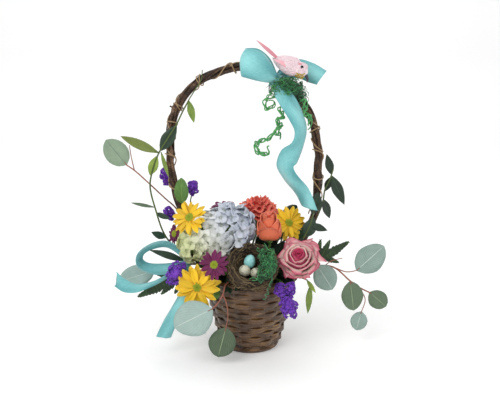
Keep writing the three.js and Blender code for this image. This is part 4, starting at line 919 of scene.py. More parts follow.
def basket_lining():
    """The stakes, the inner wall that shows between the reeds, and the coiled base."""
    sizes = bpy.context.scene.arrangement_sizes
    strands = Strands()
    for k in range(sizes.stakes):
        angle = TURN * (k + 0.5) / sizes.stakes
        line = [polar(angle, side_radius(z) - REED_INSET, z) for z in (3, 10, 20, 40, 60, 80, 100, 113)]
        strands.line(smooth_line(line, 4), 1.5, 0.3)
    for ring in range(9):
        radius = 4 + 4.1 * ring
        strands.line([polar(TURN * k / 40, radius + 4.1 * k / 40, 2.3) for k in range(41)], 2.2, 0.4)
    strands.line([polar(TURN * k / 72, 42.2, 3.0) for k in range(73)], 2.7, 0.5)
    strands.line([polar(TURN * k / 72, 40.4, 6.0) for k in range(73)], 2.0, 0.5)
    rows = []
    for z in (4, 12, 22, 45, 70, 95, 112):
        rows.append([polar(TURN * (k % 72) / 72, side_radius(z) - LINING_INSET, z) for k in range(73)])
    return joined(strands.mesh("reed", 6), Sheets().grid(rows, 0.2).mesh("reed", 0.9))


def rim_mesh():
    """Three rods laid round the mouth and the diagonal lashing that holds them."""
    strands = Strands()
    # radius, height and thickness of each rod
    rods = ((69.0, 115.5, 2.9), (72.6, 116.2, 2.7), (70.8, 118.2, 1.9))
    for rod, (radius, height, thick) in enumerate(rods):
        line = []
        for k in range(145):
            angle = TURN * k / 144
            out = radius + 0.4 * math.sin(5 * angle + rod)
            line.append(polar(angle, out, height + 0.4 * math.sin(7 * angle + 2 * rod)))
        strands.line(line, thick, 0.3 + 0.25 * rod)
    turns = 34
    lashing = []
    for k in range(turns * 12 + 1):
        angle = TURN * k / (turns * 12)
        roll = TURN * k / 12
        lashing.append(polar(angle, 70.9 + 5.0 * math.cos(roll), 116.0 + 4.0 * math.sin(roll)))
    strands.line(lashing, 0.95, 0.8)
    return strands.mesh("reed", 6)


def vine_mesh(rod, seed):
    """One barked vine of the handle with its knots, and a thinner one that wanders beside it."""
    dice = random.Random(seed)
    knots = [dice.uniform(0.05, 0.95) for _ in range(9)]
    strands = Strands()
    line, radii = [], []
    count = 300
    for k in range(count + 1):
        u = k / count
        angle = TURN * (rod / 3 + 3 * u)
        wander = 0.35 * math.sin(40 * u + seed) + 0.25 * math.sin(97 * u + 2 * seed)
        line.append(around_handle(u, angle, 3.55 + wander))
        swell = sum(0.45 * math.exp(-(((u - knot) * 170) ** 2)) for knot in knots)
        radii.append(2.7 * (1 + 0.1 * math.sin(61 * u + seed) + 0.08 * math.sin(143 * u) + swell))
    strands.line(line, 1.0, 0.2 + 0.3 * rod, taper=lambda t: radii[round(t * count)])
    thin = []
    for k in range(count + 1):
        u = 0.12 + 0.76 * k / count
        angle = TURN * (rod / 3 + 0.17 + 4.6 * u) + 0.5 * math.sin(25 * u)
        thin.append(around_handle(u, angle, 5.6 + 0.7 * math.sin(31 * u + seed)))
    strands.line(
        thin, 1.05, 0.75 - 0.2 * rod,
        taper=lambda t: 0.45 + 0.55 * math.sin(math.pi * min(t * 6, 6 - t * 6, 0.5)),
    )
    for knot in knots[:5]:
        foot = around_handle(knot, TURN * (rod / 3 + 3 * knot), 4.5)
        out = (foot - around_handle(knot, 0, 0)).normalized()
        lean = vec(dice.uniform(-1, 1), 0, dice.uniform(0, 1))
        tip = foot + (out + lean * 0.5).normalized() * dice.uniform(4.0, 7.5)
        strands.line([foot, foot.lerp(tip, 0.6), tip], 1.5, 0.5, taper=lambda t: 1.0 - 0.3 * t)
    return strands.mesh("bark", 9)


def binding_mesh():
    """Split cane wound round the vines in close bands that gather where they were pulled tight."""
    strands = Strands()
    # where each length of cane starts and ends on the handle, and its turns
    lengths = ((0.17, 0.31, 5), (0.3, 0.5, 6.5), (0.5, 0.68, 7), (0.66, 0.83, 5.5))
    for order, (start, end, turns) in enumerate(lengths):
        line = []
        for k in range(181):
            t = k / 180
            u = start + (end - start) * (t + 0.09 * math.sin(TURN * 3 * t + order))
            line.append(around_handle(u, TURN * turns * t + order, 7.7 + 0.25 * math.sin(19 * t)))
        strands.line(line, 0.95, 0.3 + 0.15 * order)
    return strands.mesh("cane", 5)


# ---- blooms
# name: centre, way it faces, petal length, petals in its lower star, eye radius, stem's mouth, stem's route
DAISIES = {
    "yellow_daisy_upper": (
        (-87, -51, 217), (-0.3, -0.75, 0.6), 26, 10, 5.5, (172, 28),
        ((-50, -1, 143), (-74, -3, 188), (-84, -16, 212), (-86, -34, 216)),
    ),
    "yellow_daisy_lower": (
        (-76, -76, 120), (-0.12, -0.97, 0.18), 32, 11, 6, (233, 43),
        ((-44, -48, 130), (-62, -58, 127), (-72, -64, 122)),
    ),
    "yellow_daisy_right": (
        (58, -1, 194), (0.3, -0.8, 0.5), 27, 10, 5.5, (8, 27), ((34, 6, 145), (47, 11, 172)),
    ),
    "magenta_daisy_front": (
        (-51, -87, 158), (-0.05, -0.94, 0.33), 20.5, 9, 5, (244, 43), ((-30, -54, 130), (-44, -70, 146)),
    ),
    "magenta_daisy_top": (
        (-42, 30, 211), (-0.15, -0.1, 1), 20, 8, 5, (125, 24), ((-24, 26, 160), (-37, 30, 188)),
    ),
    "magenta_daisy_back": (
        (47, 39, 198), (0.1, 0.05, 1), 15, 8, 4.5, (42, 24), ((28, 26, 155), (42, 37, 178)),
    ),
    "magenta_daisy_left": (
        (-111, -23, 184), (-0.75, -0.62, 0.2), 15, 8, 4.5, (191, 43),
        ((-58, -9, 142), (-86, -15, 162), (-101, -17, 177)),
    ),
}
DAISY_LEAVES = {
    "yellow_daisy_upper": (
        ((-84, -16, 212), (-102, -15, 232), 1.8, SLENDER, (0, -1, 0), 0.15),
        ((-101, -15, 229), (-101, -15, 268), 10.5, ROUND, (0, -1, 0), 0.3),
    ),
    "yellow_daisy_lower": (((-58, -56, 127), (-47, -82, 104), 8, ROUND, (0.3, -0.5, 0.8), 0.15),),
}


def daisy_petals(name, finish):
    """The strap petals of one daisy in two tiers, each petal with its own droop and twist."""
    centre, facing, radius, count, *_ = DAISIES[name]
    dice = random.Random(name)
    place = stance(centre, facing, 7 * radius)
    sheets = Sheets()
    # petals, share of the full length, height, rise and first place of each tier
    tiers = ((count + 4, 1.1, 0.0, 0.02, 0.0), (count + 2, 0.95, 1.4, 0.12, 0.5))
    for amount, share, height, rise, start in tiers:
        for k in range(amount):
            length = radius * share * dice.uniform(0.9, 1.02)
            half = radius * dice.uniform(0.13, 0.165)
            angle = TURN * (k + start + dice.uniform(-0.22, 0.22)) / amount
            lift = rise * radius * dice.uniform(-0.4, 2.0)
            curl = dice.uniform(-0.16, 0.05) * radius
            rows = petal_rows(length, half, 0.34, lift, 1.0, 0.42, curl, foot=2.4, across=8, foot_width=0.5)
            twist = Matrix.Rotation(dice.uniform(-0.35, 0.35), 4, "X")
            sheets.grid(placed_rows(rows, place @ turned(angle, 0, height) @ twist), dice.random())
    return sheets.mesh(finish, 0.45)


def disc_floret():
    """One bud of a daisy's eye: a rounded cone of few faces."""
    profile = ((0, 0), (0.62, 0.05), (0.66, 0.5), (0.4, 1.0), (0, 1.1))
    return Sheets().grid(revolved(profile, 6)).mesh("eye")


def daisy_eye(name):
    """The eye of small buds set on a spiral, its green cup and the stem, with the leaves that grow on it."""
    centre, facing, radius, _, eye, mouth, route = DAISIES[name]
    place = stance(centre, facing, 7 * radius)
    buds = Copies(len(name))
    amount = 110 if radius > 22 else 80
    for k in range(amount):
        share = math.sqrt((k + 0.5) / amount)
        spot = polar(k * GOLDEN_ANGLE, eye * share, 4.6 - 3.0 * share * share)
        out = polar(k * GOLDEN_ANGLE, 0.7 * share, 1.0)
        buds.put(place @ spot, place.to_3x3() @ out, 0.62 + 0.75 * share, tone=share)
    profile = ((0, 2.4), (eye * 0.96, 1.2), (eye * 1.02, -1.0), (eye * 0.8, -4.2), (1.9, -6.6), (0, -7.4))
    cup = Sheets().grid(placed_rows(revolved(profile, 18), place), 0.3)
    for k in range(12):
        leaflet = petal_rows(eye * 1.5, 1.9, 0.1, 1.0, 0.2, along=4, across=2, foot=eye * 0.5)
        cup.grid(placed_rows(leaflet, place @ turned(TURN * k / 12, 0, -2.6)), 0.6)
    for leaf in DAISY_LEAVES.get(name, ()):
        blade(cup, *leaf, bow=2.0, wave=0.08)
    line = planted(entry(*mouth), [*route, place @ vec(0, 0, -11), place @ vec(0, 0, -5)])
    stem = Strands().line(smooth_line(line, 4), 1.5, 0.4)
    return joined(buds.mesh(disc_floret(), "eye"), cup.mesh("sepal", 0.35), stem.mesh("stem", 7))


HYDRANGEA_CENTRE = vec(-49, -36, 187)
HYDRANGEA_SEMI = (50, 21, 31)
HYDRANGEA_TURN = Matrix.Rotation(math.radians(14), 3, "Z") @ Matrix.Rotation(math.radians(-22), 3, "Y")


def hydrangea_floret():
    """Four broad petals with a soft point, hollowed and tipped to show their edges, round a small bead."""
    sheets = Sheets()
    for k in range(4):
        rows = petal_rows(13.2, 7.0, 0.34, 3.2, 1.0, 0.0, -3.4, along=4, across=4, foot=0.6, foot_width=0.25)
        sheets.grid(placed_rows(rows, turned(TURN * k / 4, 0.1, 0.5 * (k % 2))))
    sheets.grid(ball((0, 0, 0.9), (1.1, 1.1, 0.9), 6, 4))
    return sheets.mesh("hydrangea", 0.3)


def hydrangea_mesh():
    """The mop head: florets set on a spiral over it, some tipped under their neighbours, and a leafy core
    that shows in the gaps between them, partly as the head's green inside and partly as painted shade.
    """
    amount = bpy.context.scene.arrangement_sizes.hydrangea_florets
    florets = Copies(31)
    dice = florets.random
    for k in range(amount):
        rise = 1 - 2 * (k + 0.5) / amount
        flat = math.sqrt(1 - rise * rise)
        angle = k * GOLDEN_ANGLE
        ball_point = vec(flat * math.cos(angle), flat * math.sin(angle), rise)
        deep = dice.uniform(-1.0, 6.5)
        local = vec(*(axis * (semi + deep) for axis, semi in zip(ball_point, HYDRANGEA_SEMI)))
        normal = vec(*(axis / semi for axis, semi in zip(ball_point, HYDRANGEA_SEMI))).normalized()
        jitter = vec(dice.gauss(0, 0.42), dice.gauss(0, 0.42), dice.gauss(0, 0.42))
        way = (HYDRANGEA_TURN @ (normal + jitter)).normalized()
        florets.put(HYDRANGEA_CENTRE + HYDRANGEA_TURN @ local, way, dice.uniform(0.8, 1.05))
    # the green core just inside the florets: the head's green inside, and painted shade in the gaps between
    # florets
    semi = tuple(s - 1.5 for s in HYDRANGEA_SEMI)
    core = Sheets().grid(ball(HYDRANGEA_CENTRE, semi, 24, 14, HYDRANGEA_TURN, 0.03, 4), 0.1)
    return joined(florets.mesh(hydrangea_floret(), "hydrangea"), core.mesh("sepal"))


def hydrangea_stem():
    """The woody stem of the head and the short stalks that fan out from it."""
    route = [(-30, -24, 140), (-36, -33, 148), (-44, -36, 168)]
    stem = Strands().line(smooth_line(planted(entry(211, 22), route), 4), 2.2, 0.4)
    for k in range(9):
        spoke = vec(34 * math.cos(k * 0.7), 14 * math.sin(k * 0.7), -12)
        tip = HYDRANGEA_CENTRE + HYDRANGEA_TURN @ spoke
        stem.line(smooth_line([(-38, -34, 152), vec(-41, -35, 160).lerp(tip, 0.4), tip], 4), 0.8, 0.6)
    return stem.mesh("stem", 8)


def wrapped_petal(cup, radius, foot, high, sweep, middle, roll, fall):
    """A petal that wraps round the bloom's axis: it climbs from its foot and its rim rolls back over."""
    across = 14
    turn_starts = 0.72
    rows = []
    for r in range(14):
        t = r / 13
        climb = min(t / turn_starts, 1.0)
        bend = 2.3 * max(0.0, t - turn_starts) / (1 - turn_starts)
        row = []
        for c in range(across + 1):
            s = 2 * c / across - 1
            # the rim falls away to each side, where it rolls back the most: a soft point
            top = high - fall * (high - foot) * abs(s) ** 2.2
            lip = roll * (0.45 + 0.55 * abs(s)) * (1 + 0.2 * math.sin(4 * s + 5 * middle))
            wave = 0.5 * math.sin(s * 6 + middle * 3) * t * t
            reach = radius * eased(cup, climb) + lip * (1 - math.cos(bend)) + wave
            rise = foot + (top - foot) * climb**1.15 + lip * math.sin(bend) + 0.6 * wave
            angle = middle + s * sweep * eased(((0, 0.25), (0.3, 0.8), (0.6, 1.0), (1, 0.93)), t)
            row.append(polar(angle, max(reach, 0.3), rise))
        rows.append(row)
    return rows


def furled(turns, near, far, low, high, drop):
    """The innermost petal, rolled up on itself like a scroll."""
    rows = []
    for r in range(7):
        t = r / 6
        row = []
        for k in range(46):
            share = k / 45
            reach = near + (far - near) * share + 0.8 * t * t
            row.append(polar(TURN * turns * share, reach, low + t * (high - drop * share)))
        rows.append(row)
    return rows


ROSE = ((70.5, -60, 160), (-0.02, -0.68, 0.73), 20)
ROSE_CUP = ((0, 0.18), (0.4, 0.84), (1, 1.0))
BUD = ((28, -34, 199), (-0.04, -0.2, 0.97), 30)
BUD_CUP = ((0, 0.35), (0.3, 0.9), (0.58, 1.0), (1, 0.86))
CARNATION = ((12, 24, 209), (0, -0.16, 1), 0)


def furled_bloom(place, dice, cup, foot, tiers, fall):
    """Wrapped petals tier by tier, gathered by the finish that each tier takes."""
    gathered = {}
    for tier, (amount, radius, high, sweep, roll, finish) in enumerate(tiers):
        sheets = gathered.setdefault(finish, Sheets())
        for k in range(amount):
            middle = TURN * (k + 0.5 * (tier % 2) + dice.uniform(-0.13, 0.13)) / amount
            near = radius * dice.uniform(0.94, 1.03)
            up = high + dice.uniform(-1.6, 1.2)
            rows = wrapped_petal(cup, near, foot, up, sweep, middle, roll * dice.uniform(0.7, 1.2), fall)
            sheets.grid(placed_rows(rows, place), dice.random())
    return gathered


def rose_mesh():
    """The rose: six tiers of wrapped petals that tighten to a furled heart."""
    place = stance(ROSE[0], (-0.08, -0.72, 0.69), ROSE[2])
    tiers = (
        # petals, radius, height of the rim, half sweep, roll of the rim, finish
        (6, 25.5, -12.5, 0.62, 7.0, "rose"),
        (5, 23.0, -6.5, 0.84, 5.4, "rose"),
        (5, 19.6, 0.5, 0.86, 4.4, "rose"),
        (4, 15.8, 6.5, 1.0, 3.4, "rose"),
        (4, 11.2, 11.5, 1.1, 2.1, "rose"),
        (3, 7.4, 14.6, 1.3, 0.9, "rose_heart"),
    )
    gathered = furled_bloom(place, random.Random(5), ROSE_CUP, -15, tiers, 0.3)
    gathered["rose_heart"].grid(placed_rows(furled(1.9, 1.0, 5.6, -2, 17.2, 2.2), place), 0.4)
    profile = ((0, -18), (9, -17), (18, -9), (15, 0), (9, 7), (0, 9))
    body = Sheets().grid(placed_rows(revolved(profile, 20), place), 0.0)
    parts = [sheets.mesh(finish, 0.5) for finish, sheets in gathered.items()]
    return joined(*parts, body.mesh("rose_heart"))


def bud_mesh():
    """The coral rosebud: tall petals furled round each other, the outer ones just turning back at the rim."""
    place = stance(*BUD)
    tiers = (
        # as for the rose
        (3, 18.0, 6.0, 1.1, 1.5, "coral"),
        (3, 16.0, 12.5, 1.15, 1.5, "coral"),
        (3, 12.6, 18.5, 1.3, 1.2, "coral"),
        (3, 9.2, 22.0, 1.3, 0.9, "coral"),
    )
    sheets = furled_bloom(place, random.Random(8), BUD_CUP, -20, tiers, 0.42)["coral"]
    sheets.grid(placed_rows(furled(1.6, 0.8, 5.2, 2, 21.5, 2.0), place), 0.9)
    profile = ((0, -22), (8, -20), (14.5, -8), (12.5, 3), (8, 12), (0, 16))
    body = Sheets().grid(placed_rows(revolved(profile, 20), place), 0.2)
    return joined(sheets.mesh("coral", 0.5), body.mesh("coral"))


def carnation_mesh():
    """The carnation: fan petals set every way, their rims ruffled and cut into small teeth."""
    place = stance(*CARNATION)
    sheets = Sheets()
    dice = random.Random(14)
    # petals, radius and height of each tier
    tiers = (
        (8, 33.0, -2.0), (8, 30.0, 3.5), (7, 25.0, 9.0), (6, 19.0, 13.0), (5, 12.0, 15.5), (3, 6.0, 16.5)
    )
    for tier, (amount, radius, height) in enumerate(tiers):
        for k in range(amount):
            middle = TURN * (k + 0.5 * (tier % 2) + dice.uniform(-0.3, 0.3)) / amount
            sweep = math.pi / amount * dice.uniform(1.0, 1.35)
            phase, rate, deep = dice.uniform(0, TURN), dice.uniform(4.5, 8.5), dice.uniform(1.6, 3.4)
            up = height + dice.uniform(-2.5, 2.0)
            rows = []
            for r in range(9):
                t = r / 8
                row = []
                for c in range(21):
                    s = 2 * c / 20 - 1
                    teeth = (0.8 if c % 2 else -0.7) * max(0.0, t - 0.8) * 5
                    wave = deep * math.sin(s * rate + phase) * t**2
                    reach = 2.0 + (radius - 2.0) * t * (1 - 0.2 * s * s * t) + teeth
                    rise = -11 + (up + 11) * eased(((0, 0), (0.4, 0.75), (0.8, 1.0), (1, 0.98)), t)
                    row.append(polar(middle + s * sweep * (0.35 + 0.65 * t), reach, rise + wave))
                rows.append(row)
            sheets.grid(placed_rows(rows, place), dice.random())
    profile = ((0, -12), (4, -11), (17, -2), (14, 6), (0, 11))
    body = Sheets().grid(placed_rows(revolved(profile, 18), place), 0.1)
    return joined(sheets.mesh("carnation", 0.4), body.mesh("carnation"))


def bloom_stem(stand, mouth, route, radius, ends, hip, sepals):
    """A stem with the hip it swells into and the sepals that clasp the bloom."""
    place = stance(*stand)
    line = planted(entry(*mouth), [*route, *(place @ vec(0, 0, end) for end in ends)])
    stem = Strands().line(smooth_line(line, 4), radius, 0.4)
    green = Sheets().grid(placed_rows(revolved(hip, 16), place), 0.4)
    count, reach, low, high = sepals
    for k in range(count):
        leaf = petal_rows(reach, 3.2, 0.12, high - low, 0.1, along=7, across=4, foot=2.0)
        green.grid(placed_rows(leaf, place @ turned(TURN * k / count, 0, low)), 0.2 + 0.15 * k)
    return joined(stem.mesh("stem", 8), green.mesh("sepal", 0.4))


# of each stem: mouth, route, radius, its ends below the bloom, the profile of its hip, its sepals
ROSE_STEM = (
    (322, 30), [(40, -27, 132)], 2, (-31, -25), ((0, -27), (2.4, -26), (4.2, -23), (4.0, -20), (0, -17)),
    (5, 15, -21, -18),
)
BUD_STEM = (
    (325, 17), [(24, -20, 150)], 1.8, (-32, -27),
    ((0, -29), (2.2, -28), (4.6, -25), (4.4, -21.5), (0, -20)), (5, 15, -24, -14),
)
CARNATION_STEM = (
    (82, 14), [(3, 18, 150)], 1.6, (-33, -28),
    ((0, -29), (3.4, -28), (4.6, -22), (4.6, -14), (4.2, -10), (0, -9)), (5, 5.5, -12, -8),
)

# one list for each spray: the middles, axes and half sizes of its heads
STATICE = {
    "statice_left": (((-108, -64, 137), (0.45, 0, 0.9), (12, 10, 18)),),
    "statice_low_right": (
        ((56, -84, 95), (-0.3, 0, 0.95), (13, 9, 20)), ((43.5, -85, 119), (0, 0, 1), (6, 6, 8)),
        ((58, -84, 120), (0, 0, 1), (6, 6, 8)),
    ),
    "statice_behind_handle": (
        ((-126, 22, 262), (-0.2, 0, 1), (8.5, 8, 13)), ((-87, 22, 243), (0, 0, 1), (6.5, 6.5, 9)),
        ((-124, 22, 203), (-0.4, 0, 0.9), (7, 6.5, 9)),
    ),
}
STATICE_STEMS = {
    "statice_left": ((1.4, planted(entry(222), [(-60, -50, 128), (-84, -60, 127), (-106, -63, 134)])),),
    "statice_low_right": (
        (1.4, planted(entry(300), [(38, -54, 124), (48, -76, 124), (51, -84, 110), (54, -84, 98)])),
        (1.0, [(50, -82, 113), (47, -84, 116), (43.5, -85, 119)]),
        (1.0, [(50, -82, 113), (55, -84, 116), (58, -84, 120)]),
    ),
    "statice_behind_handle": (
        (1.4, planted(entry(138), [(-64, 26, 150), (-92, 24, 200), (-106, 22, 228), (-125, 22, 258)])),
        (1.0, [(-92, 24, 200), (-91, 23, 222), (-87, 22, 240)]),
        (1.0, [(-90, 24, 196), (-108, 24, 198), (-122, 22, 203)]),
    ),
}


def statice_floret():
    """One papery cup of few faces: its rim is folded into a star, and it is hollow down to its heart."""
    rows = []
    for radius, height in ((0.0, 0.0), (1.3, 1.3), (2.6, 3.1), (1.1, 1.5), (0.0, 0.8)):
        row = []
        for k in range(11):
            point = math.cos(math.pi * k) * height / 3.1
            notch = 0.45 * point * (radius > 1.2)
            row.append(polar(TURN * (k % 10) / 10, radius * (1 + 0.2 * point), height - notch))
        rows.append(row)
    return Sheets().grid(rows).mesh("statice")


def statice_mesh(name):
    """A spray of papery cups: each head is a cluster of small clumps, on forked stems."""
    florets = Copies(len(name))
    dice = florets.random
    core = Sheets()
    for centre, axis, semi in STATICE[name]:
        turn = UP.rotation_difference(Vector(axis).normalized()).to_matrix()
        core.grid(ball(centre, tuple(s * 0.64 for s in semi), 12, 8, turn, 0.08), 0.0)
        clumps = round(semi[2] * 0.55) + 3
        for clump in range(clumps):
            rise = 1 - 2 * (clump + 0.5) / clumps
            flat = math.sqrt(1 - rise * rise)
            hub = polar(clump * GOLDEN_ANGLE + dice.uniform(-0.3, 0.3), 0.62 * flat, 0.78 * rise)
            size = min(semi) * dice.uniform(0.42, 0.56)
            for _ in range(18):
                way = (hub * 0.7 + vec(*(dice.gauss(0, 0.6) for _ in range(3)))).normalized()
                spot = vec(*(h * s for h, s in zip(hub, semi))) + way * size * dice.uniform(0.6, 1.05)
                florets.put(Vector(centre) + turn @ spot, turn @ way, dice.uniform(0.6, 0.95))
    stems = Strands()
    for radius, line in STATICE_STEMS[name]:
        stems.line(smooth_line(line, 4), radius, 0.5)
    return joined(florets.mesh(statice_floret(), "statice"), core.mesh("statice"), stems.mesh("stem"))


# ---- foliage
# each spray: its stem lines (radius, points), then its leaves (root, tip, half width, then what blade takes)
EUCALYPTUS = {
    "eucalyptus_left": (
        (
            (1.3, planted(entry(158), [
                (-84, 36, 150), (-113, 36, 205), (-131, 22, 228), (-150, 8, 252), (-172, 2, 275),
                (-184, 1, 284),
            ])),
            (0.8, [(-172, 2, 275), (-176, 2, 296), (-178, 2, 313)]),
        ),
        (((-183, 1, 284), (-212, -2, 322), 17.5, ROUND, (0.1, -1, 0.1)),),
    ),
    "eucalyptus_front": (
        (
            (1.4, planted(entry(255), [
                (-24, -58, 124), (-35, -76, 124), (-39, -88, 113), (-46, -93, 102), (-55, -95, 93),
            ])),
            (0.9, [(-39, -88, 113), (-34, -88, 100), (-32, -88, 80), (-35, -86, 60)]),
        ),
        (
            ((-54, -95, 94), (-109, -97, 66), 26, ROUND, (-0.1, -1, 0.1)),
            ((-35, -86, 61), (-47, -83, 13), 20, ROUND, (0.1, -1, 0.15)),
        ),
    ),
    "eucalyptus_right": (
        (
            (1.4, planted(entry(330), [
                (76, -24, 131), (104, -25, 135), (126, -22, 131), (151, -20, 109), (163, -18, 99),
                (184, -12, 86),
            ])),
            (0.9, [(126, -22, 131), (146, -17, 122), (163, -11, 122)]),
            (0.8, [(163, -18, 99), (176, -16, 78), (171, -16, 56)]),
            (0.7, [(112, -24, 134), (122, -22, 141), (139, -20, 145)]),
        ),
        (
            ((162, -11, 122), (203, -7, 160), 21, ROUND, (0.1, -1, 0.2)),
            ((101, -26, 135), (124, -34, 100), 18, ROUND, (0.2, -1, 0.2)),
            ((152, -20, 108), (158, -24, 62), 16.5, ROUND, (0.1, -1, 0.1)),
            ((183, -12, 87), (210, -8, 62), 14.5, ROUND, (0, -1, 0.1)),
            ((171, -16, 57), (164, -16, 26), 13, ROUND, (-0.1, -1, 0.1)),
        ),
    ),
    "eucalyptus_low_left": (
        ((1.3, planted(entry(181, 33), [(-44, 8, 130), (-88, 16, 129), (-128, 0, 126), (-146, -14, 123)])),),
        (((-145, -14, 123), (-200, -18, 106), 17, ROUND, (0, -0.9, 0.45)),),
    ),
}
# the finishes that a spray's leaves take in turn
EUCALYPTUS_FACES = {
    "eucalyptus_left": ("pale_leaf",),
    "eucalyptus_front": ("eucalyptus", "grey_leaf"),
    "eucalyptus_right": ("eucalyptus", "eucalyptus", "grey_leaf", "grey_leaf", "eucalyptus"),
    "eucalyptus_low_left": ("eucalyptus",),
}
# the same for the long vine on the left
SMILAX_LEFT = (
    (
        (1.4, planted(entry(200), [
            (-66, -18, 125), (-98, -15, 147), (-126, -13, 176), (-141, -12, 220), (-148, -10, 254),
            (-144, -11, 276), (-134, -13, 303), (-120, -14, 326), (-107, -14, 346), (-97, -13, 366),
            (-88, -12, 382),
        ])),
        (0.8, [(-89, -12, 381), (-78, -12, 398), (-70, -11, 411), (-68, -10, 425)]),
    ),
    (
        ((-136, -13, 300), (-148, -9, 270), 7, SLENDER, FRONT, 0.4, 0),
        ((-134, -12, 305), (-190, -4, 328), 7, SLENDER, FRONT, 0.2, 0),
        ((-131, -12, 308), (-106, -11, 346), 10, POINTED, FRONT, 0.05, 0),
        ((-130, -13, 306), (-120, -12, 268), 3, SLENDER), ((-140, -12, 213), (-119, -16, 205), 4.5),
        ((-142, -12, 222), (-178, -8, 228), 2.6, SLENDER),
        ((-88, -12, 381), (-81, -13, 349), 5.5, POINTED, FRONT, 0.3, 0),
        ((-126, -13, 175), (-148, -14, 184), 6),
    ),
)
SMILAX_LEFT_FACES = (
    "light_leaf", "olive_leaf", "dark_leaf", "light_leaf",
    "dark_leaf", "grey_leaf", "light_leaf", "dark_leaf",
)
# the other vines and broad leaves, each with the one finish of its leaves
VINES = {
    "smilax_right": (
        ((1.4, planted(entry(15), [
            (68, 14, 132), (94, 15, 180), (110, 12, 222), (113, 8, 245), (120, 5, 262), (124, 4, 276),
        ])),),
        (
            ((122, 5, 268), (114, 7, 299), 6.5, POINTED, FRONT, 0.15, 1),
            ((121, 5, 264), (114, 14, 240), 6), ((122, 5, 266), (142, 1, 222), 8.5),
            ((111, 11, 228), (122, 18, 196), 7, POINTED, (0.3, -1, 0.2), 0.15, 0),
        ),
        "dark_leaf",
    ),
    "salal_right": (
        ((1.4, planted(entry(345, 33), [(54, -13, 140), (76, -14, 168), (90, -14, 196), (95, -13, 216)])),),
        (
            ((82, -14, 176), (96, -14, 207), 11), ((94, -13, 212), (101, -12, 246), 10.5),
            ((90, -14, 196), (116, -16, 187), 6),
        ),
        "dark_leaf",
    ),
    "ruscus_low_right": (
        ((1.2, planted(entry(313), [(44, -38, 124), (68, -47, 125), (84, -50, 121), (89, -51, 112)])),),
        (((89, -51, 113), (86, -52, 68), 5), ((84, -50, 121), (97, -56, 103), 3.5)), "light_leaf",
    ),
    "salal_back": (
        ((1.5, planted(entry(40), [(42, 42, 130), (52, 54, 158), (56, 60, 186)])),),
        (
            ((38, 36, 123), (66, 54, 128), 17, ROUND, (0.1, 0.3, 0.9), 0.15, 4),
            ((50, 52, 153), (20, 74, 172), 16, ROUND, (0, 0.9, 0.5), 0.15, 4),
            ((54, 59, 180), (74, 62, 205), 11, ROUND, (0.2, 1, 0.2), 0.15, 3),
        ),
        "dark_leaf",
    ),
    "salal_back_left": (
        ((1.5, planted(entry(133, 32), [(-30, 38, 138), (-46, 50, 162), (-52, 56, 186)])),),
        (
            ((-29, 37, 136), (-2, 76, 136), 16, ROUND, (0, 0.5, 0.85), 0.15, 4),
            ((-42, 47, 157), (-78, 62, 168), 15, ROUND, (-0.2, 0.9, 0.4), 0.15, 4),
            ((-51, 55, 181), (-44, 62, 207), 11, ROUND, (0, 1, 0.2), 0.15, 3),
        ),
        "dark_leaf",
    ),
}
# each frond: its stalk, its leaflets (root, tip, half width) and the way they face
FERNS = {
    "fern_right": (
        planted(entry(342, 43), [(78, -13, 127), (104, -15, 140), (112, -14, 144)]),
        (
            ((110, -15, 143), (149, -6, 166), 7), ((106, -15, 141), (120, -12, 170), 5.5),
            ((100, -15, 138), (106, -14, 172), 5), ((112, -14, 144), (134, -14, 136), 4.5),
        ),
        (0, -1, 0.3),
    ),
    "fern_left": (
        planted(entry(211, 43), [(-66, -33, 124), (-98, -34, 122), (-120, -36, 114)]),
        (
            ((-118, -36, 115), (-167, -42, 92), 8), ((-108, -35, 119), (-132, -42, 96), 6),
            ((-96, -34, 122), (-112, -44, 98), 6), ((-112, -35, 118), (-142, -30, 124), 4),
        ),
        (0, -1, 0.4),
    ),
}
# each broad frond behind: its stalk, root, tip, the way it faces and its pairs of leaflets
BACK_FRONDS = {
    "fern_back_left": (
        planted(entry(112, 42), [(-26, 50, 128)]), (-34, 62, 134), (-74, 112, 110), (0, 0.5, 0.85), 9,
    ),
    "fern_back_right": (
        planted(entry(66, 42), [(24, 50, 128)]), (32, 62, 134), (78, 108, 110), (0, 0.5, 0.85), 9,
    ),
    "fern_back_tall": (
        planted(entry(88, 30), [(-2, 40, 145)]), (-3, 50, 152), (-8, 80, 206), (0, 1, -0.3), 9,
    ),
}


def sprig_mesh(stems, leaves, leaf_finishes, stem_finish_name, seed):
    """A spray: its stems, and leaves on short stalks that wave a little at the edge."""
    dice = random.Random(seed)
    wood = Strands()
    for radius, line in stems:
        wood.line(smooth_line(line, 3), radius, 0.4, taper=lambda t: 1.08 - 0.3 * t)
    sets = {finish: Sheets() for finish in leaf_finishes}
    for k, leaf in enumerate(leaves):
        sheets = sets[leaf_finishes[k % len(leaf_finishes)]]
        blade(sheets, *leaf, tone=dice.random(), wave=0.09)
        root, tip = Vector(leaf[0]), Vector(leaf[1])
        wood.line([root, root.lerp(tip, 0.12)], 0.7, 0.6)
    leafage = [sheets.mesh(finish, 0.45) for finish, sheets in sets.items()]
    return joined(wood.mesh(stem_finish_name, 7), *leafage)


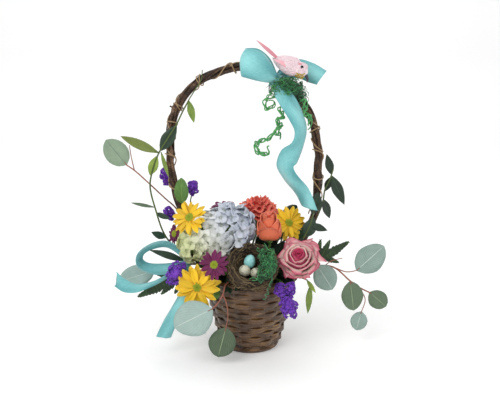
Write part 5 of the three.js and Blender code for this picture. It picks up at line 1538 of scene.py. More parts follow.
def leaflet_frond(sheets, root, tip, half, facing, pairs, tone, arch):
    """A small frond: many toothed leaflets that shorten towards its tip, on both sides of its rib."""
    root, tip = Vector(root), Vector(tip)
    along, side, up = leaf_frame(root, tip, facing)
    length = (tip - root).length
    for k in range(pairs):
        t = (k + 0.4) / pairs
        foot = root.lerp(tip, t) + up * arch * 4 * t * (1 - t)
        reach = half * (0.5 + 1.2 * t if t < 0.35 else 1.0 - 0.78 * (t - 0.35) / 0.65) * 1.15
        for way in (-1, 1):
            end = foot + side * way * reach + along * reach * 0.55 - up * reach * 0.12
            wide = max(length / pairs * 0.85, 1.8)
            blade(sheets, foot, end, wide, LEAFLET, facing, 0.12, 0.3, tone=(tone + 0.13 * k) % 1)
    blade(sheets, root.lerp(tip, 0.9), tip, half * 0.22, POINTED, facing, 0.1, 0, tone=tone)


def fern_mesh(stalk, fronds, facing):
    """A leatherleaf spray: each of its fronds is cut into fine leaflets."""
    wood = Strands().line(smooth_line(stalk, 3), 1.2, 0.3)
    green = Sheets()
    for k, (root, tip, half) in enumerate(fronds):
        root, tip = Vector(root), Vector(tip)
        wood.line([root, root.lerp(tip, 0.5), tip], 0.5, 0.5, taper=lambda t: 1 - 0.6 * t)
        pairs = max(5, round((tip - root).length / 5.5))
        leaflet_frond(green, root, tip, half, facing, pairs, 0.2 + 0.2 * k, 0.0)
    return joined(wood.mesh("stem", 6), green.mesh("fern", 0.35))


def back_frond_mesh(stalk, root, tip, facing, pairs):
    """A broad frond behind: side fronds in pairs on an arched rib, each cut into leaflets."""
    root, tip = Vector(root), Vector(tip)
    along, side, up = leaf_frame(root, tip, facing)

    def rib(t):
        return root.lerp(tip, t) + up * 6 * 4 * t * (1 - t)

    wood = Strands().line(smooth_line([*stalk, *(rib(t) for t in (0, 0.25, 0.5, 0.75, 1))], 3), 1.1, 0.3)
    green = Sheets()
    for k in range(pairs):
        t = (k + 0.5) / (pairs + 0.6)
        reach = 28 * (0.55 + 1.2 * t if t < 0.36 else 1.0 - 0.8 * (t - 0.36) / 0.64)
        leaflets = max(5, round(reach / 3.2))
        for way in (-1, 1):
            foot = rib(t)
            end = foot + side * way * reach * 0.9 + along * reach * 0.5 - up * 1.5
            wood.line([foot, foot.lerp(end, 0.9)], 0.45, 0.5)
            leaflet_frond(green, foot, end, reach * 0.2 + 1.2, facing, leaflets, 0.1 * k % 1, 0.8)
    leaflet_frond(green, rib(0.93), tip, 4, facing, 4, 0.5, 0.0)
    return joined(wood.mesh("stem", 6), green.mesh("fern", 0.35))


def skirt_mesh():
    """Short leaves and moss that hide the foam and the rim, as a maker tucks them in last."""
    dice = random.Random(77)
    leaves = Sheets()
    for k in range(78):
        angle = TURN * (k + dice.uniform(-0.4, 0.4)) / 78
        inner = dice.uniform(30, 50)
        outer = inner + dice.uniform(17, 27)
        low = entry(math.degrees(angle), min(inner, 46)).z
        root = polar(angle, inner, low - 2)
        tip = polar(angle + dice.uniform(-0.25, 0.25), outer, 121 + dice.uniform(0, 12))
        blade(
            leaves, root, tip, dice.uniform(4.5, 8.0), POINTED, (0, 0, 1), 0.2, dice.uniform(2, 6),
            tone=dice.random(), wave=0.1,
        )
    return leaves.mesh("dark_leaf", 0.4)


# dark leaves tucked in behind the front blooms: root, tip, half width
FILLERS = (
    ((28, -14, 128), (52, -26, 176), 11), ((20, -22, 126), (18, -38, 172), 10),
    ((44, -8, 130), (80, -22, 178), 11), ((34, -30, 124), (52, -58, 138), 9),
    ((6, -34, 126), (12, -44, 168), 9), ((30, 6, 128), (36, -6, 186), 12),
    ((-20, 10, 128), (-8, 0, 196), 12), ((-44, -10, 126), (-84, -22, 158), 11),
    ((-46, -30, 124), (-88, -44, 158), 10), ((-40, -40, 122), (-66, -66, 138), 9),
    ((-24, -48, 122), (-34, -78, 134), 9), ((-34, -44, 122), (-28, -74, 108), 8),
    ((-48, 0, 128), (-96, -8, 186), 10), ((-44, 12, 126), (-90, 4, 206), 10),
    ((46, 4, 128), (88, -6, 196), 11), ((44, -20, 124), (88, -36, 140), 9),
    ((40, -34, 122), (66, -64, 122), 8), ((14, 20, 130), (26, 16, 196), 12),
    ((-26, -50, 121), (-38, -80, 112), 7), ((-96, -36, 146), (-149, -41, 165), 5.5),
    ((-14, -52, 121), (-22, -82, 116), 7),
)


def filler_mesh():
    """The dark leaves that close the gaps between the blooms."""
    dice = random.Random(41)
    leaves = Sheets()
    for root, tip, half in FILLERS:
        facing = (dice.uniform(-0.4, 0.4), -1, dice.uniform(0.2, 0.7))
        blade(leaves, root, tip, half, POINTED, facing, 0.2, dice.uniform(1, 4), tone=dice.random(), wave=0.1)
    return leaves.mesh("dark_leaf", 0.4)


# ---- nest, eggs and moss
NEST_PLACE = Matrix.Translation((3, -75.5, 153.5)) @ Matrix.Rotation(math.radians(38), 4, "X")
NEST_OUTER = ((0, -32), (16, -30), (28, -22), (35, -9), (36, -1), (33, 4))
NEST_BOWL = ((0, -17), (14, -15), (22, -9), (28, 2))
EGGS = {
    "blue_egg": ((-3.4, 9, -4.4), (8.3, 8.3, 10), (0.25, 0.75, 0.6), "blue_egg"),
    "speckled_egg_left": ((-10.8, -7, -3.8), (8.3, 8.3, 9.4), (-0.3, -0.2, 0.9), "speckled_egg"),
    "speckled_egg_right": ((5.3, -9.3, -6.3), (7.6, 7.6, 8.6), (0.2, -0.3, 0.9), "speckled_egg"),
}
NEST_MOSS_LINES = (
    (
        (-14, 25, 6), (-26, 30, 9.5), (-40, 36, 9.5), (-50, 41, 5), (-56, 43.5, -4), (-62, 45, -14),
        (-68, 45, -25),
    ),
    (
        (38, 22, 4), (22, 23, 7), (8, 21, 5.5), (-4, 23, 7.5), (-16, 20, 5.5), (-28, 23, 7.5),
        (-40, 22, 5.5), (-52, 26, 8.5),
    ),
    (
        (48, 26, 7), (32, 27, 8), (20, 30, 9.5), (6, 27, 8), (-8, 30, 8), (-20, 27, 8), (-32, 33, 10),
        (-44, 29, 9),
    ),
    (
        (-10, 26, 7), (-30, 26, 8.5), (-52, 29, 9.5), (-68, 27, 9), (-82, 31, 10), (-94, 28, 9),
        (-106, 34, 10.5),
    ),
    ((8, 27, 6), (20, 31, 9.5), (32, 35, 10), (44, 31, 9.5), (58, 34, 9.5)),
)


def nest_mesh():
    """The nest: twigs and grass wound round and round a bowl, with loose ends that stick out."""
    dice = random.Random(12)
    strands = Strands()
    amount = bpy.context.scene.arrangement_sizes.nest_twigs
    section = [
        *smooth_line([vec(r, 0, z) for r, z in NEST_OUTER], 2),
        *reversed(smooth_line([vec(r, 0, z) for r, z in NEST_BOWL], 2)),
    ]
    section = [p for p in section if p.x > 6]
    for _ in range(amount):
        spot = section[dice.randrange(len(section))]
        start = dice.uniform(0, TURN)
        sweep = dice.uniform(0.3, 1.3) * dice.choice((-1, 1))
        drift = dice.uniform(-9, 9)
        thick = dice.choice((0.35, 0.45, 0.6, 0.9))
        out = dice.uniform(-0.6, 1.3)
        bend = dice.uniform(-6, 9)
        line = []
        for i in range(9):
            t = i / 8 - 0.5
            radius = spot.x + out + bend * t * t + 1.1 * math.sin(7 * t + start)
            height = min(spot.z + drift * t + 1.0 * math.sin(9 * t + 2 * start), 6.5)
            line.append(NEST_PLACE @ polar(start + sweep * t, radius, height))
        strands.line(line, thick, dice.random(), taper=lambda t: 1.0 - 0.5 * abs(2 * t - 1) ** 3)
    for _ in range(150):
        angle = dice.uniform(0, TURN)
        foot = polar(angle, dice.uniform(27, 34), dice.uniform(-14, 5))
        tip = foot + polar(angle + dice.uniform(-1.5, 1.5), dice.uniform(5, 11), dice.uniform(-5, 5))
        middle = foot.lerp(tip, 0.5) + polar(dice.uniform(0, TURN), 1.5, 1)
        straw = smooth_line([NEST_PLACE @ foot, NEST_PLACE @ middle, NEST_PLACE @ tip], 3)
        strands.line(straw, 0.4, dice.random())
    outer = [(r * 0.95, z * 0.95) for r, z in NEST_OUTER]
    bowl = [(r + 1, z - 1) for r, z in NEST_BOWL]
    rows = revolved(outer, 28) + revolved(bowl[::-1], 28)
    body = Sheets().grid(placed_rows(rows, NEST_PLACE), 0.15)
    return joined(strands.mesh("twig", 5), body.mesh("twig"))


def egg_mesh(name):
    """One egg, blunter at one end, lying as its lean says."""
    at, semi, lean, finish = EGGS[name]
    turn = UP.rotation_difference(Vector(lean).normalized()).to_matrix()
    rows = []
    for r in range(25):
        tilt = math.pi * r / 24
        narrow = 1 + 0.1 * math.cos(tilt)
        row = []
        for k in range(33):
            angle = TURN * (k % 32) / 32
            flat = math.sin(tilt) * narrow
            x = semi[0] * flat * math.cos(angle)
            y = semi[1] * flat * math.sin(angle)
            row.append(NEST_PLACE @ (Vector(at) + turn @ vec(x, y, -semi[2] * math.cos(tilt))))
        rows.append(row)
    return Sheets().grid(rows).mesh(finish)


def springy(dice, start, keep, steps, step=1.5, bend=0.55):
    """A strand that coils as it goes: it turns about an axis which drifts, and stays where keep puts it."""
    way = vec(*(dice.gauss(0, 1) for _ in range(3))).normalized()
    axis = way.orthogonal().normalized()
    line = [start]
    for _ in range(steps):
        way.rotate(Quaternion(axis, bend * dice.uniform(0.5, 1.4)))
        axis = (axis + vec(*(dice.gauss(0, 0.22) for _ in range(3)))).normalized()
        line.append(keep(line[-1] + way * step))
    return line


def curly_tuft(strands, dice, centre, semi, amount, place):
    """Springy strands that curl about within an ellipsoid of the given place."""
    centre = Vector(centre)

    def keep(point):
        share = vec(*((p - c) / s for p, c, s in zip(point, centre, semi))).length
        return point if share < 1.15 else centre + (point - centre) * (1.15 / share)

    for _ in range(amount):
        out = vec(*(dice.gauss(0, 1) for _ in range(3))).normalized() * dice.uniform(0.5, 1.0)
        start = centre + vec(*(o * s for o, s in zip(out, semi)))
        line = [place @ p for p in springy(dice, start, keep, 26)]
        strands.line(line, dice.uniform(0.35, 0.62), dice.random(), taper=lambda t: 1.0 - 0.4 * t)


def ragged_line(strands, dice, line, amount, spread, thick, palest=0.0):
    """A curl of moss made of several strands that coil about one line."""
    line = smooth_line(line, 1.8)
    for _ in range(amount):
        phase = [dice.uniform(0, TURN) for _ in range(3)]
        rate = [dice.uniform(0.35, 1.1) for _ in range(3)]
        begin = dice.randrange(max(1, len(line) // 3))
        stop = len(line) - dice.randrange(max(1, len(line) // 3))
        points = []
        for k in range(begin, stop):
            offset = vec(*(math.sin(r * k + p) for r, p in zip(rate, phase)))
            points.append(line[k] + offset * spread)
        if len(points) > 2:
            strands.line(points, dice.uniform(*thick), dice.uniform(palest, 1.0))


def nest_moss_mesh():
    """Curly moss over the nest's right half, with a strand that hangs down from it."""
    dice = random.Random(21)
    strands = Strands()
    amount = bpy.context.scene.arrangement_sizes.moss_strands

    def keep(point):
        # the moss lies on the bowl, which climbs to the nest's rim, and stays on the right half
        flat = point.xy.length
        low = -14 if flat < 16 else -14 + 17 * min((flat - 16) / 13, 1)
        far = min(1.0, 36 / max(flat, 1))
        edge = 9 + 3 * math.sin(point.y * 0.5)
        return vec(max(point.x * far, edge), point.y * far, min(max(point.z, low + 2), 9))

    for _ in range(amount):
        start = keep(polar(math.radians(dice.gauss(-6, 42)), dice.uniform(16, 34), 6))
        line = [NEST_PLACE @ p for p in springy(dice, start, keep, 22, 1.4, 0.6)]
        strands.line(line, dice.uniform(0.3, 0.5), dice.uniform(0.1, 0.9))
    for marks in NEST_MOSS_LINES:
        line = [NEST_PLACE @ polar(math.radians(angle), radius, height) for angle, radius, height in marks]
        ragged_line(strands, dice, line, 3, 1.8, (0.35, 0.55))
    return strands.mesh("moss", 5)


HANDLE_CURLS = (
    (
        (56, -5, 382), (47, -5, 379), (38, -4, 386), (28, -5, 386), (21, -4, 378), (26, -5, 369),
        (34, -3, 373), (29, -3, 382),
    ),
    (
        (60, -4, 379), (51, -4, 371), (43, -2, 366), (48, -4, 358), (40, -5, 350), (46, -3, 342),
        (38, -4, 334), (45, -4, 326), (40, -4, 312),
    ),
    (
        (44, -3.6, 346), (34, -5, 332), (22, -5, 322), (12, -4, 320), (9, -5, 310), (17, -4, 301),
        (26, -5, 305), (30, -4, 316),
    ),
    ((70, -11, 388), (80, -12, 377), (79, -11, 365), (87, -11, 354), (84, -11, 341)),
    ((68, 6, 400), (57, 13, 406), (46, 14, 402), (37, 14, 394), (28, 8, 389)),
)


def handle_moss_mesh():
    """The bird's perch: a thick tuft of curly moss on the handle, with curls that trail down from it."""
    dice = random.Random(22)
    strands = Strands()
    amount = bpy.context.scene.arrangement_sizes.moss_strands
    tuft = stance((62, -1, 391), (-0.77, 0, 0.64))
    curly_tuft(strands, dice, (0, 0, 0), (17, 16, 24), amount, tuft)
    curly_tuft(strands, dice, (51, -16, 402), (24, 11, 13), round(amount * 1.1), Matrix())
    for curl in HANDLE_CURLS:
        ragged_line(strands, dice, curl, 4, 3.0, (0.75, 1.25), 0.75)
    core = Sheets().grid(ball(tuft.translation, (12, 12, 18), 14, 10, tuft.to_3x3(), 0.1, 3), 0.0)
    return joined(strands.mesh("moss", 5), core.mesh("moss"))


# ---- bird
BIRD_CENTRE = vec(57, -9, 431)
BIRD_WAY = vec(0.9, -0.12, -0.36).normalized()
BILL = (
    (0.6, -1.6, -4.1, 2.9), (1.4, -2.2, -5.9, 2.6), (2.8, -3.2, -9.9, 2.0), (2.4, -4.0, -13.2, 0.9),
    (2, -4.4, -15, 0.0),
)
BIRD_BODY = ((0, -25), (5, -21), (10, -12), (13, 0), (12.6, 8), (10.8, 13), (11, 18), (9.4, 23), (0, 28))


def feather_shape(finish):
    """One small body feather: a rounded scale that lies nearly flat along +Y."""
    rows = []
    for r in range(4):
        t = r / 3
        wide = 1.5 * eased(((0, 0.4), (0.5, 1.0), (1, 0.25)), t)
        hollow = 0.5 * (1 - 0.5 * t)
        rows.append([vec(s * wide, 4.6 * t, hollow * (1 - s * s) + 0.35 * t) for s in (-1, 0, 1)])
    return Sheets().grid(rows).mesh(finish, 0.15)


def plumage(place):
    """Feathers laid tail-wards over the body, mustard ones at the throat."""
    dice = random.Random(6)
    pink, mustard = Copies(3), Copies(4)
    line = smooth_line([vec(r, 0, z) for r, z in BIRD_BODY], 2.4)
    back = place.to_3x3() @ -UP
    for a, b in zip(line[1:], line[2:]):
        if a.z > 25.5:
            break
        around = max(6, round(a.x * 2.8))
        for k in range(around):
            angle = TURN * (k + dice.random()) / around
            out = (place.to_3x3() @ polar(angle, b.z - a.z, a.x - b.x)).normalized()
            lay = out.to_track_quat("Z", "Y").inverted() @ (back - out * back.dot(out))
            throat = 11 < a.z < 25 and out.z < -0.38
            size = dice.uniform(0.75, 1.05) * (0.7 if a.z > 12 and not throat else 1)
            kind = mustard if throat else pink
            kind.put(place @ polar(angle, a.x - 0.15, a.z), out, size, math.atan2(-lay.x, lay.y))
    return pink.mesh(feather_shape("feather"), "feather"), mustard.mesh(feather_shape("throat"), "throat")


def bird_mesh():
    """The bird: a feathered body, folded wings, a long tail and bead eyes."""
    place = stance(BIRD_CENTRE, BIRD_WAY)
    body = Sheets().grid(placed_rows(revolved(BIRD_BODY, 28), place), 0.4)
    wings = Sheets()
    eyes, rings = Sheets(), Sheets()
    for way in (-1, 1):
        for k in range(7):
            t = k / 6
            root = vec(72 - 8 * t, -9 + way * (9.6 - 0.5 * t), 431 - 2.5 * t)
            tip = vec(52 - 20 * t, -9 + way * (11.8 - 0.3 * k), 428 + 2.2 * k)
            blade(wings, root, tip, 3.4 - 0.1 * k, SLENDER, (0, way, 0.3), -0.15, 1.0, tone=t)
        for k in range(5):
            root = vec(76, -9 + way * 8.0, 432 - 1.4 * k)
            tip = vec(60 - k, -9 + way * 11.6, 434 - 2.8 * k)
            blade(wings, root, tip, 3.0, ROUND, (0, way, 0.3), -0.2, 0.8, tone=0.2 * k)
        spot = place @ (Matrix.Rotation(math.radians(180 + 50 * way), 3, "Z") @ vec(10.6, 0, 17.0))
        eyes.grid(ball(spot, (2.3, 2.3, 2.3), 12, 8))
        rings.grid(ball(spot.lerp(place @ vec(0, 0, 17), 0.1), (2.6, 2.6, 2.6), 12, 8))
    for k in range(5):
        spread = (k - 2) / 2
        tip = vec(9 + 3.5 * (1 - abs(spread)), -8 + 4.2 * spread, 467 - 2.0 * (1 - abs(spread)))
        blade(wings, (45, -8 + spread, 436), tip, 2.3, SLENDER, (0.2, -1, 0.2), 0.1, 1.0, tone=0.25 * k)
    face = (rings.mesh("wing"), eyes.mesh("bead"))
    return joined(body.mesh("feather"), *plumage(place), wings.mesh("wing", 0.5), *face)


def beak_mesh():
    """The short bill, its two halves parted by a fine line, drooping from the face."""
    face = BIRD_CENTRE + BIRD_WAY * 24
    rows = [[face + vec(0.6, -1.6, -4.1)] * 17]
    for x, y, z, radius in BILL:
        ring = [polar(TURN * (k % 16) / 16, radius * (0.8 if k % 8 == 4 else 1)) for k in range(17)]
        rows.append([face + vec(x, y, z) + spot for spot in ring])
    return Sheets().grid(rows).mesh("bill")


# ---- ribbons
# each strip: its middle and half width vector at each mark along it
HANDLE_LOOP = (
    ((37, -10.5, 411), (1.5, 0, 4.5)), ((28, -20, 421), (3, 0, 13)), ((14, -28, 431), (4, 0, 19.5)),
    ((0, -30, 436), (3.5, 0, 20.5)), ((-9, -26, 437), (2.5, 0, 19.5)), ((-7, -19, 438), (3, 0, 18.5)),
    ((8, -15.5, 437), (4, 0, 18)), ((24, -14, 430), (4, 0, 12)), ((38, -11.5, 413), (1.5, 0, 4.5)),
)
HANDLE_RIGHT_TAIL = (
    ((37, 10, 412), (0, 0, 4)), ((50, 12.5, 419), (-2, 0, 10)), ((70, 14, 424), (-1, 0, 14)),
    ((88, 10, 419), (3, 0, 14)), ((104, 5, 412), (7, 0, 10)),
)
HANDLE_LONG_TAIL = (
    ((37, -10, 404), (4, 0, 3)), ((44, -17, 396), (9, 0, 6)), ((54, -22, 381), (11, 3, 5)),
    ((66, -23, 360), (9.5, 9, 4)), ((73, -22, 340), (9, 10.5, 0)), ((69, -22, 319), (9, 10, -5)),
    ((57, -24, 302), (12, 1, -9)), ((51, -24, 288), (12, -7, 0)), ((58, -21, 272), (9, -11, 6)),
    ((77, -19, 248), (10, -7, 5)), ((88, -18, 223), (12, -4, -3)),
)
BASKET_LOOP = (
    ((-95, -38, 146), (2, -5, 3)), ((-106, -33, 160), (3, -6, 6)), ((-124, -33, 171), (1, -8, 7.5)),
    ((-146, -36, 168), (-2, -9, 6)), ((-162, -37, 156), (-4, -10.5, 2)), ((-163, -38, 144), (-3, -11, -2)),
    ((-150, -39, 136), (1, -10, -5)), ((-128, -38, 134), (2, -9, -6)), ((-97, -38, 141), (1, -5, -4)),
)
BASKET_LEFT_TAIL = (
    ((-96, -43, 138), (1.5, -4, -3.4)), ((-122, -52, 126), (2, -6, 5)), ((-148, -53, 114), (2, -5, 6)),
    ((-170, -50, 108), (1, -3, 8)), ((-188, -46, 112), (0, 3, 10)), ((-200, -44, 121), (1, 6, 9)),
)
BASKET_LOW_TAIL = (
    ((-93, -42.5, 139), (4.6, -2, 0.7)), ((-92, -50, 122), (9, -3, 0)), ((-95, -54, 104), (10, -4, 3)),
    ((-106, -52, 82), (10, -6, 3)), ((-118, -50, 58), (11, -4, 2)), ((-130, -50, 30), (11, 2, -2)),
)


def ribbon_mesh(marks, crown, notch=False, creases=0.6, across=12):
    """A strip of ribbon through its marks, gathered into folds where it is narrow."""
    middles = smooth_line([middle for middle, _ in marks], 2.5)
    count = len(middles) - 1
    far = distances(middles)
    # where each mark lies along the finer line, so that the half widths keep pace with the middles
    stops = []
    index = 0
    for middle, _ in marks:
        index = min(range(index, count + 1), key=lambda k: (middles[k] - Vector(middle)).length)
        stops.append(index)
    pairs = [[(stop, half[axis]) for stop, (_, half) in zip(stops, marks)] for axis in range(3)]
    widest = max(Vector(half).length for _, half in marks)
    rows = []
    for k, middle in enumerate(middles):
        half = vec(*(eased(axis, k) for axis in pairs))
        before, after = middles[max(0, k - 1)], middles[min(count, k + 1)]
        normal = (after - before).cross(half).normalized()
        gather = 1 - half.length / widest
        row = []
        for c in range(across + 1):
            s = 2 * c / across - 1
            fold = creases * gather * 4.5 * math.sin(s * 6.5 + 0.5)
            fold += crown * (1 - s * s) + 0.6 * math.sin(s * 5 + k * 0.13)
            cut = (1 - abs(s)) * -0.9 * half.length if notch and k == count else 0
            along = (after - before).normalized() * cut
            row.append(middle + half * s + normal * fold + along)
        rows.append(row)
    wide = max(distances(row)[-1] for row in rows)
    length = max(distances(line)[-1] for line in zip(*rows))

    def painted_fold_shading(r, c):
        # painted highlight where the cloth bellies out, and painted shade in its folds and towards its edges
        s = 2 * c / across - 1
        painted_belly_highlight = math.cos(s * 2.4 + 1.3 * math.sin(far[r] / 17))
        return 0.5 + 0.38 * painted_belly_highlight - 0.32 * math.sin(far[r] / 13 + 2 * s)

    strip = Sheets().grid(rows, painted_fold_shading, lambda r, c: (wide * c / across / 10, far[r] / 10))
    return strip.mesh("ribbon", 0.45), wide, length


# ---- operators
class ARRANGEMENT_OT_finishes(bpy.types.Operator):
    """Make the materials and the node trees that the pieces share"""

    bl_idname = "arrangement.finishes"
    bl_label = "Finishes"

    def execute(self, context):
        make_finishes()
        TREES.update(strands=strand_tree(), copies=copies_tree(), weave=weave_tree())
        return {"FINISHED"}


class ARRANGEMENT_OT_basket(bpy.types.Operator):
    """Weave the basket, wind its rim and fill it"""

    bl_idname = "arrangement.basket"
    bl_label = "Basket"

    def execute(self, context):
        shown("woven_basket", joined(woven_rows(), basket_lining()), "wicker", ["basket"])
        shown("lashed_rim", rim_mesh(), "wicker", ["rim_hoop"])
        for node, finish in (("liner", "liner"), ("floral_foam", "foam")):
            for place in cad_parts[node].material_slots:
                place.material = FINISHES[finish]
        moss = Strands()
        curly_tuft(moss, random.Random(78), (0, 0, FOAM_EDGE), (38, 38, 16), 90, Matrix())
        shown("foam_moss", moss.mesh("moss", 4), "moss")
        shown("leaf_skirt", skirt_mesh(), "dark_leaf")
        shown("filler_leaves", filler_mesh(), "dark_leaf")
        return {"FINISHED"}


class ARRANGEMENT_OT_handle(bpy.types.Operator):
    """Bend the vines of the handle and bind them with cane"""

    bl_idname = "arrangement.handle"
    bl_label = "Handle"

    def execute(self, context):
        for rod in range(3):
            shown(f"handle_vine_{rod + 1}", vine_mesh(rod, 5 + rod), "vine", [f"handle_rod_{rod + 1}"])
        shown("handle_cane", binding_mesh(), "cane", ["handle_binding"])
        return {"FINISHED"}


class ARRANGEMENT_OT_daisies(bpy.types.Operator):
    """Make the yellow and magenta daisies"""

    bl_idname = "arrangement.daisies"
    bl_label = "Daisies"

    def execute(self, context):
        for name in DAISIES:
            finish = name.split("_")[0]
            shown(f"{name}_blossom", daisy_petals(name, finish), f"{finish}_petal", [f"{name}_petals"])
            shown(f"{name}_eye", daisy_eye(name), "stem", [f"{name}_stem"])
        return {"FINISHED"}


class ARRANGEMENT_OT_large_blooms(bpy.types.Operator):
    """Make the hydrangea, the rose, the coral rosebud and the carnation"""

    bl_idname = "arrangement.large_blooms"
    bl_label = "Large Blooms"

    def execute(self, context):
        shown("hydrangea_head", hydrangea_mesh(), "hydrangea", ["hydrangea_florets"])
        shown("hydrangea_stalks", hydrangea_stem(), "stem", ["hydrangea_stem"])
        shown("rose_bloom", rose_mesh(), "rose", ["rose_petals"])
        shown("rose_stalk", bloom_stem(ROSE, *ROSE_STEM), "stem", ["rose_stem"])
        shown("coral_bloom", bud_mesh(), "coral", ["coral_rosebud_petals"])
        shown("coral_stalk", bloom_stem(BUD, *BUD_STEM), "stem", ["coral_rosebud_stem"])
        shown("carnation_bloom", carnation_mesh(), "carnation", ["carnation_petals"])
        shown("carnation_stalk", bloom_stem(CARNATION, *CARNATION_STEM), "stem", ["carnation_stem"])
        return {"FINISHED"}


class ARRANGEMENT_OT_statice(bpy.types.Operator):
    """Make the sprays of purple statice"""

    bl_idname = "arrangement.statice"
    bl_label = "Statice"

    def execute(self, context):
        for name in STATICE:
            shown(f"{name}_spray", statice_mesh(name), "statice", [name])
        return {"FINISHED"}


class ARRANGEMENT_OT_foliage(bpy.types.Operator):
    """Make the eucalyptus, the vines, the broad leaves and the ferns"""

    bl_idname = "arrangement.foliage"
    bl_label = "Foliage"

    def execute(self, context):
        for k, (name, (stems, leaves)) in enumerate(EUCALYPTUS.items()):
            faces = EUCALYPTUS_FACES[name]
            shown(f"{name}_spray", sprig_mesh(stems, leaves, faces, "red_stem", k), "eucalyptus", [name])
        smilax = sprig_mesh(*SMILAX_LEFT, SMILAX_LEFT_FACES, "vine_stem", 9)
        shown("smilax_left_vine", smilax, "light_leaf", ["smilax_left"])
        for k, (name, (stems, leaves, finish)) in enumerate(VINES.items()):
            shown(f"{name}_spray", sprig_mesh(stems, leaves, (finish,), "vine_stem", 20 + k), finish, [name])
        for name, parts in FERNS.items():
            shown(f"{name}_frond", fern_mesh(*parts), "fern", [name])
        for name, parts in BACK_FRONDS.items():
            shown(f"{name}_frond", back_frond_mesh(*parts), "fern", [name])
        return {"FINISHED"}


class ARRANGEMENT_OT_nest(bpy.types.Operator):
    """Wind the nest, lay its eggs and tuck in its moss"""

    bl_idname = "arrangement.nest"
    bl_label = "Nest and Eggs"

    def execute(self, context):
        shown("twig_nest", nest_mesh(), "nest", ["nest"])
        for name in EGGS:
            shown(f"{name}_shell", egg_mesh(name), EGGS[name][3], [name])
        shown("nest_curly_moss", nest_moss_mesh(), "moss", ["nest_moss"])
        return {"FINISHED"}


class ARRANGEMENT_OT_bird(bpy.types.Operator):
    """Make the bird and the moss that it sits on"""

    bl_idname = "arrangement.bird"
    bl_label = "Bird and Perch"

    def execute(self, context):
        shown("feathered_bird", bird_mesh(), "bird", ["bird_body"])
        shown("bird_bill", beak_mesh(), "beak", ["bird_beak"])
        shown("perch_moss", handle_moss_mesh(), "moss", ["handle_moss"])
        return {"FINISHED"}


class ARRANGEMENT_OT_ribbons(bpy.types.Operator):
    """Tie the bow on the handle and the bow beside the basket"""

    bl_idname = "arrangement.ribbons"
    bl_label = "Ribbons"

    def execute(self, context):
        strips = (
            ("handle_bow_loop", HANDLE_LOOP, "handle_bow", "gathered", "handle_knot", False, -5.0),
            ("handle_bow_right_tail", HANDLE_RIGHT_TAIL, "handle_bow", "gathered", "handle_knot", False, 3.0),
            ("handle_bow_long_tail", HANDLE_LONG_TAIL, "handle_bow", "hung", "handle_knot", False, 4.0),
            ("basket_bow_loop", BASKET_LOOP, "basket_bow", "gathered", "basket_knot", False, 3.0),
            ("basket_bow_left_tail", BASKET_LEFT_TAIL, "basket_bow", "gathered", "basket_knot", True, 3.0),
            ("basket_bow_low_tail", BASKET_LOW_TAIL, "basket_bow", "hung", "basket_knot", False, 3.0),
        )
        shown("handle_knot", handle_knot_mesh(), "ribbon", ["handle_bow"])
        shown("basket_knot", basket_knot_mesh(), "ribbon", ["basket_bow"])
        for name, marks, node, held, knot, notch, crown in strips:
            mesh, wide, length = ribbon_mesh(marks, crown, notch)
            piece = shown(name, mesh, "ribbon", [node])
        return {"FINISHED"}


def band(marks):
    """A short wrap of ribbon through (middle, half width) marks."""
    mesh, *_ = ribbon_mesh(marks, 0.8, creases=0.4, across=6)
    return mesh


def handle_knot_mesh():
    """The ribbon's knot: two turns round the vines, pinched into folds, with a tuck in front."""
    parts = []
    ahead, behind = around_handle(KNOT_SHARE + 0.01, 0, 0), around_handle(KNOT_SHARE - 0.01, 0, 0)
    along = (ahead - behind).normalized()
    # slant, radius and half width of each turn
    for slant, radius, half in ((0.0, 10.2, 5.0), (0.0015, 11.0, 4.0)):
        marks = []
        for k in range(13):
            angle = TURN * k / 12
            marks.append((around_handle(KNOT_SHARE + slant * math.cos(angle), angle, radius), along * half))
        parts.append(band(marks))
    tuck = Sheets().grid(ball((37, -12.5, 409), (5.5, 3.6, 6.5), 16, 10, None, 0.1, 5))
    return joined(*parts, tuck.mesh("ribbon"))


def basket_knot_mesh():
    """The knot beside the basket: a puckered wrap on the end of its pick."""
    hub = Sheets().grid(ball((-95, -38, 143), (6, 7, 7), 18, 12, None, 0.1, 2))
    marks = []
    for k in range(13):
        angle = TURN * k / 12
        middle = (-95 + 6.8 * math.sin(angle), -38 - 7.6 * math.cos(angle), 143)
        marks.append((middle, (0.8 * math.cos(angle), 0, 4.6)))
    route = [(-58, -25, 137), (-84, -36, 141), (-94, -38, 142)]
    pick = Strands().line(smooth_line(planted(entry(205, 34), route), 4), 1.5, 0.4)
    return joined(hub.mesh("ribbon"), band(marks), pick.mesh("cane", 7))


# ---- studio, in metres, watts and degrees
# name, where it stands, its size and its power
LAMPS = (
    ("key_light", (-0.9, -1.3, 1.5), 1.1, 15.0),
    ("fill_light", (1.4, -1.1, 0.8), 1.4, 5.0),
    ("top_light", (0.1, 0.5, 1.7), 1.2, 7.0),
)
LAMP_TARGET = vec(0, 0, 0.2)
CAMERA_TARGET = vec(0, 0, 0.23)
CAMERA_DISTANCE = 1.25
CAMERA_RISE = 15
# the room's light, and what is added to it where the camera sees the room past the paper's edge
ROOM_LIGHT = 0.62
ROOM_GLOW = 0.4
# the paper's course in millimetres, as (Y, Z): flat under the basket, then up behind it
PAPER = ((-2600, -0.4), (900, -0.4), (1300, 60), (1600, 300), (1750, 800), (1800, 2600))


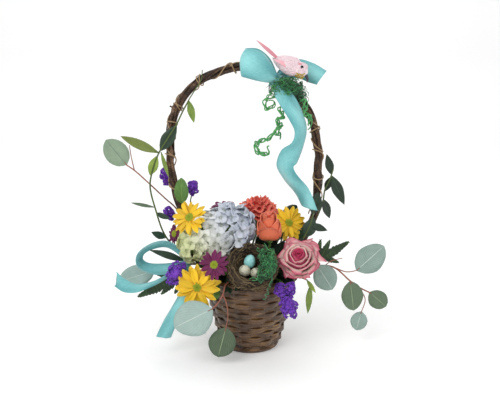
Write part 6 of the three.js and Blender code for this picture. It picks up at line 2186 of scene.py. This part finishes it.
class ARRANGEMENT_OT_studio(bpy.types.Operator):
    """Set up the pale floor, the soft studio lights and the camera"""

    bl_idname = "arrangement.studio"
    bl_label = "Studio"

    def execute(self, context):
        paper = Sheets().grid([[vec(x, y, z) for x in (3000, 0, -3000)] for y, z in PAPER])
        linked("backdrop", paper.mesh("paper"))
        for name, place, size, power in LAMPS:
            light = bpy.data.lights.new(name, "AREA")
            light.size = size
            light.energy = power
            lamp = linked(name, light)
            lamp.location = place
            lamp.rotation_euler = (LAMP_TARGET - Vector(place)).to_track_quat("-Z", "Y").to_euler()
        world = bpy.data.worlds.new("Soft room")
        world.use_nodes = True
        tree = world.node_tree
        room = tree.nodes["Background"]
        room.inputs["Color"].default_value = linear("#fbfcfd")
        seen = add(tree, "ShaderNodeLightPath").outputs["Is Camera Ray"]
        levels = {0: seen, 1: ROOM_GLOW, 2: ROOM_LIGHT}
        strength = add(tree, "ShaderNodeMath", levels, operation="MULTIPLY_ADD")
        tree.links.new(strength.outputs[0], room.inputs["Strength"])
        context.scene.world = world
        context.scene.view_settings.view_transform = "Standard"
        lens = bpy.data.cameras.new("camera")
        lens.lens = 60
        lens.sensor_width = 36
        lens.clip_end = 20
        camera = linked("camera", lens)
        rise = math.radians(CAMERA_RISE)
        camera.location = CAMERA_TARGET + vec(0, -math.cos(rise), math.sin(rise)) * CAMERA_DISTANCE
        camera.rotation_euler = (math.radians(90) - rise, 0, 0)
        context.scene.camera = camera
        return {"FINISHED"}


OPERATORS = (
    ARRANGEMENT_OT_finishes,
    ARRANGEMENT_OT_studio,
    ARRANGEMENT_OT_basket,
    ARRANGEMENT_OT_handle,
    ARRANGEMENT_OT_daisies,
    ARRANGEMENT_OT_large_blooms,
    ARRANGEMENT_OT_statice,
    ARRANGEMENT_OT_foliage,
    ARRANGEMENT_OT_nest,
    ARRANGEMENT_OT_bird,
    ARRANGEMENT_OT_ribbons,
)


class ARRANGEMENT_PT_panel(bpy.types.Panel):
    """Lists the arrangement's settings and makers"""

    bl_label = "Flower Basket"
    bl_idname = "ARRANGEMENT_PT_panel"
    bl_space_type = "VIEW_3D"
    bl_region_type = "UI"
    bl_category = "Arrangement"

    def draw(self, context):
        for settings in (context.scene.arrangement_colours, context.scene.arrangement_sizes):
            box = self.layout.box()
            for name in settings.__annotations__:
                box.prop(settings, name)
        for operator in OPERATORS:
            self.layout.operator(operator.bl_idname)


CLASSES = (ArrangementColours, ArrangementSizes, *OPERATORS, ARRANGEMENT_PT_panel)


def register():
    """Adds the settings, the operators and the panel."""
    for made in CLASSES:
        bpy.utils.register_class(made)
    bpy.types.Scene.arrangement_colours = PointerProperty(type=ArrangementColours)
    bpy.types.Scene.arrangement_sizes = PointerProperty(type=ArrangementSizes)


def unregister():
    """Takes them away again."""
    del bpy.types.Scene.arrangement_sizes
    del bpy.types.Scene.arrangement_colours
    for made in reversed(CLASSES):
        bpy.utils.unregister_class(made)


def main():
    """Registers the add-on and makes every piece in turn."""
    register()
    for operator in OPERATORS:
        group, name = operator.bl_idname.split(".")
        getattr(getattr(bpy.ops, group), name)()
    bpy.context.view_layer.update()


if __name__ == "__main__":
    main()
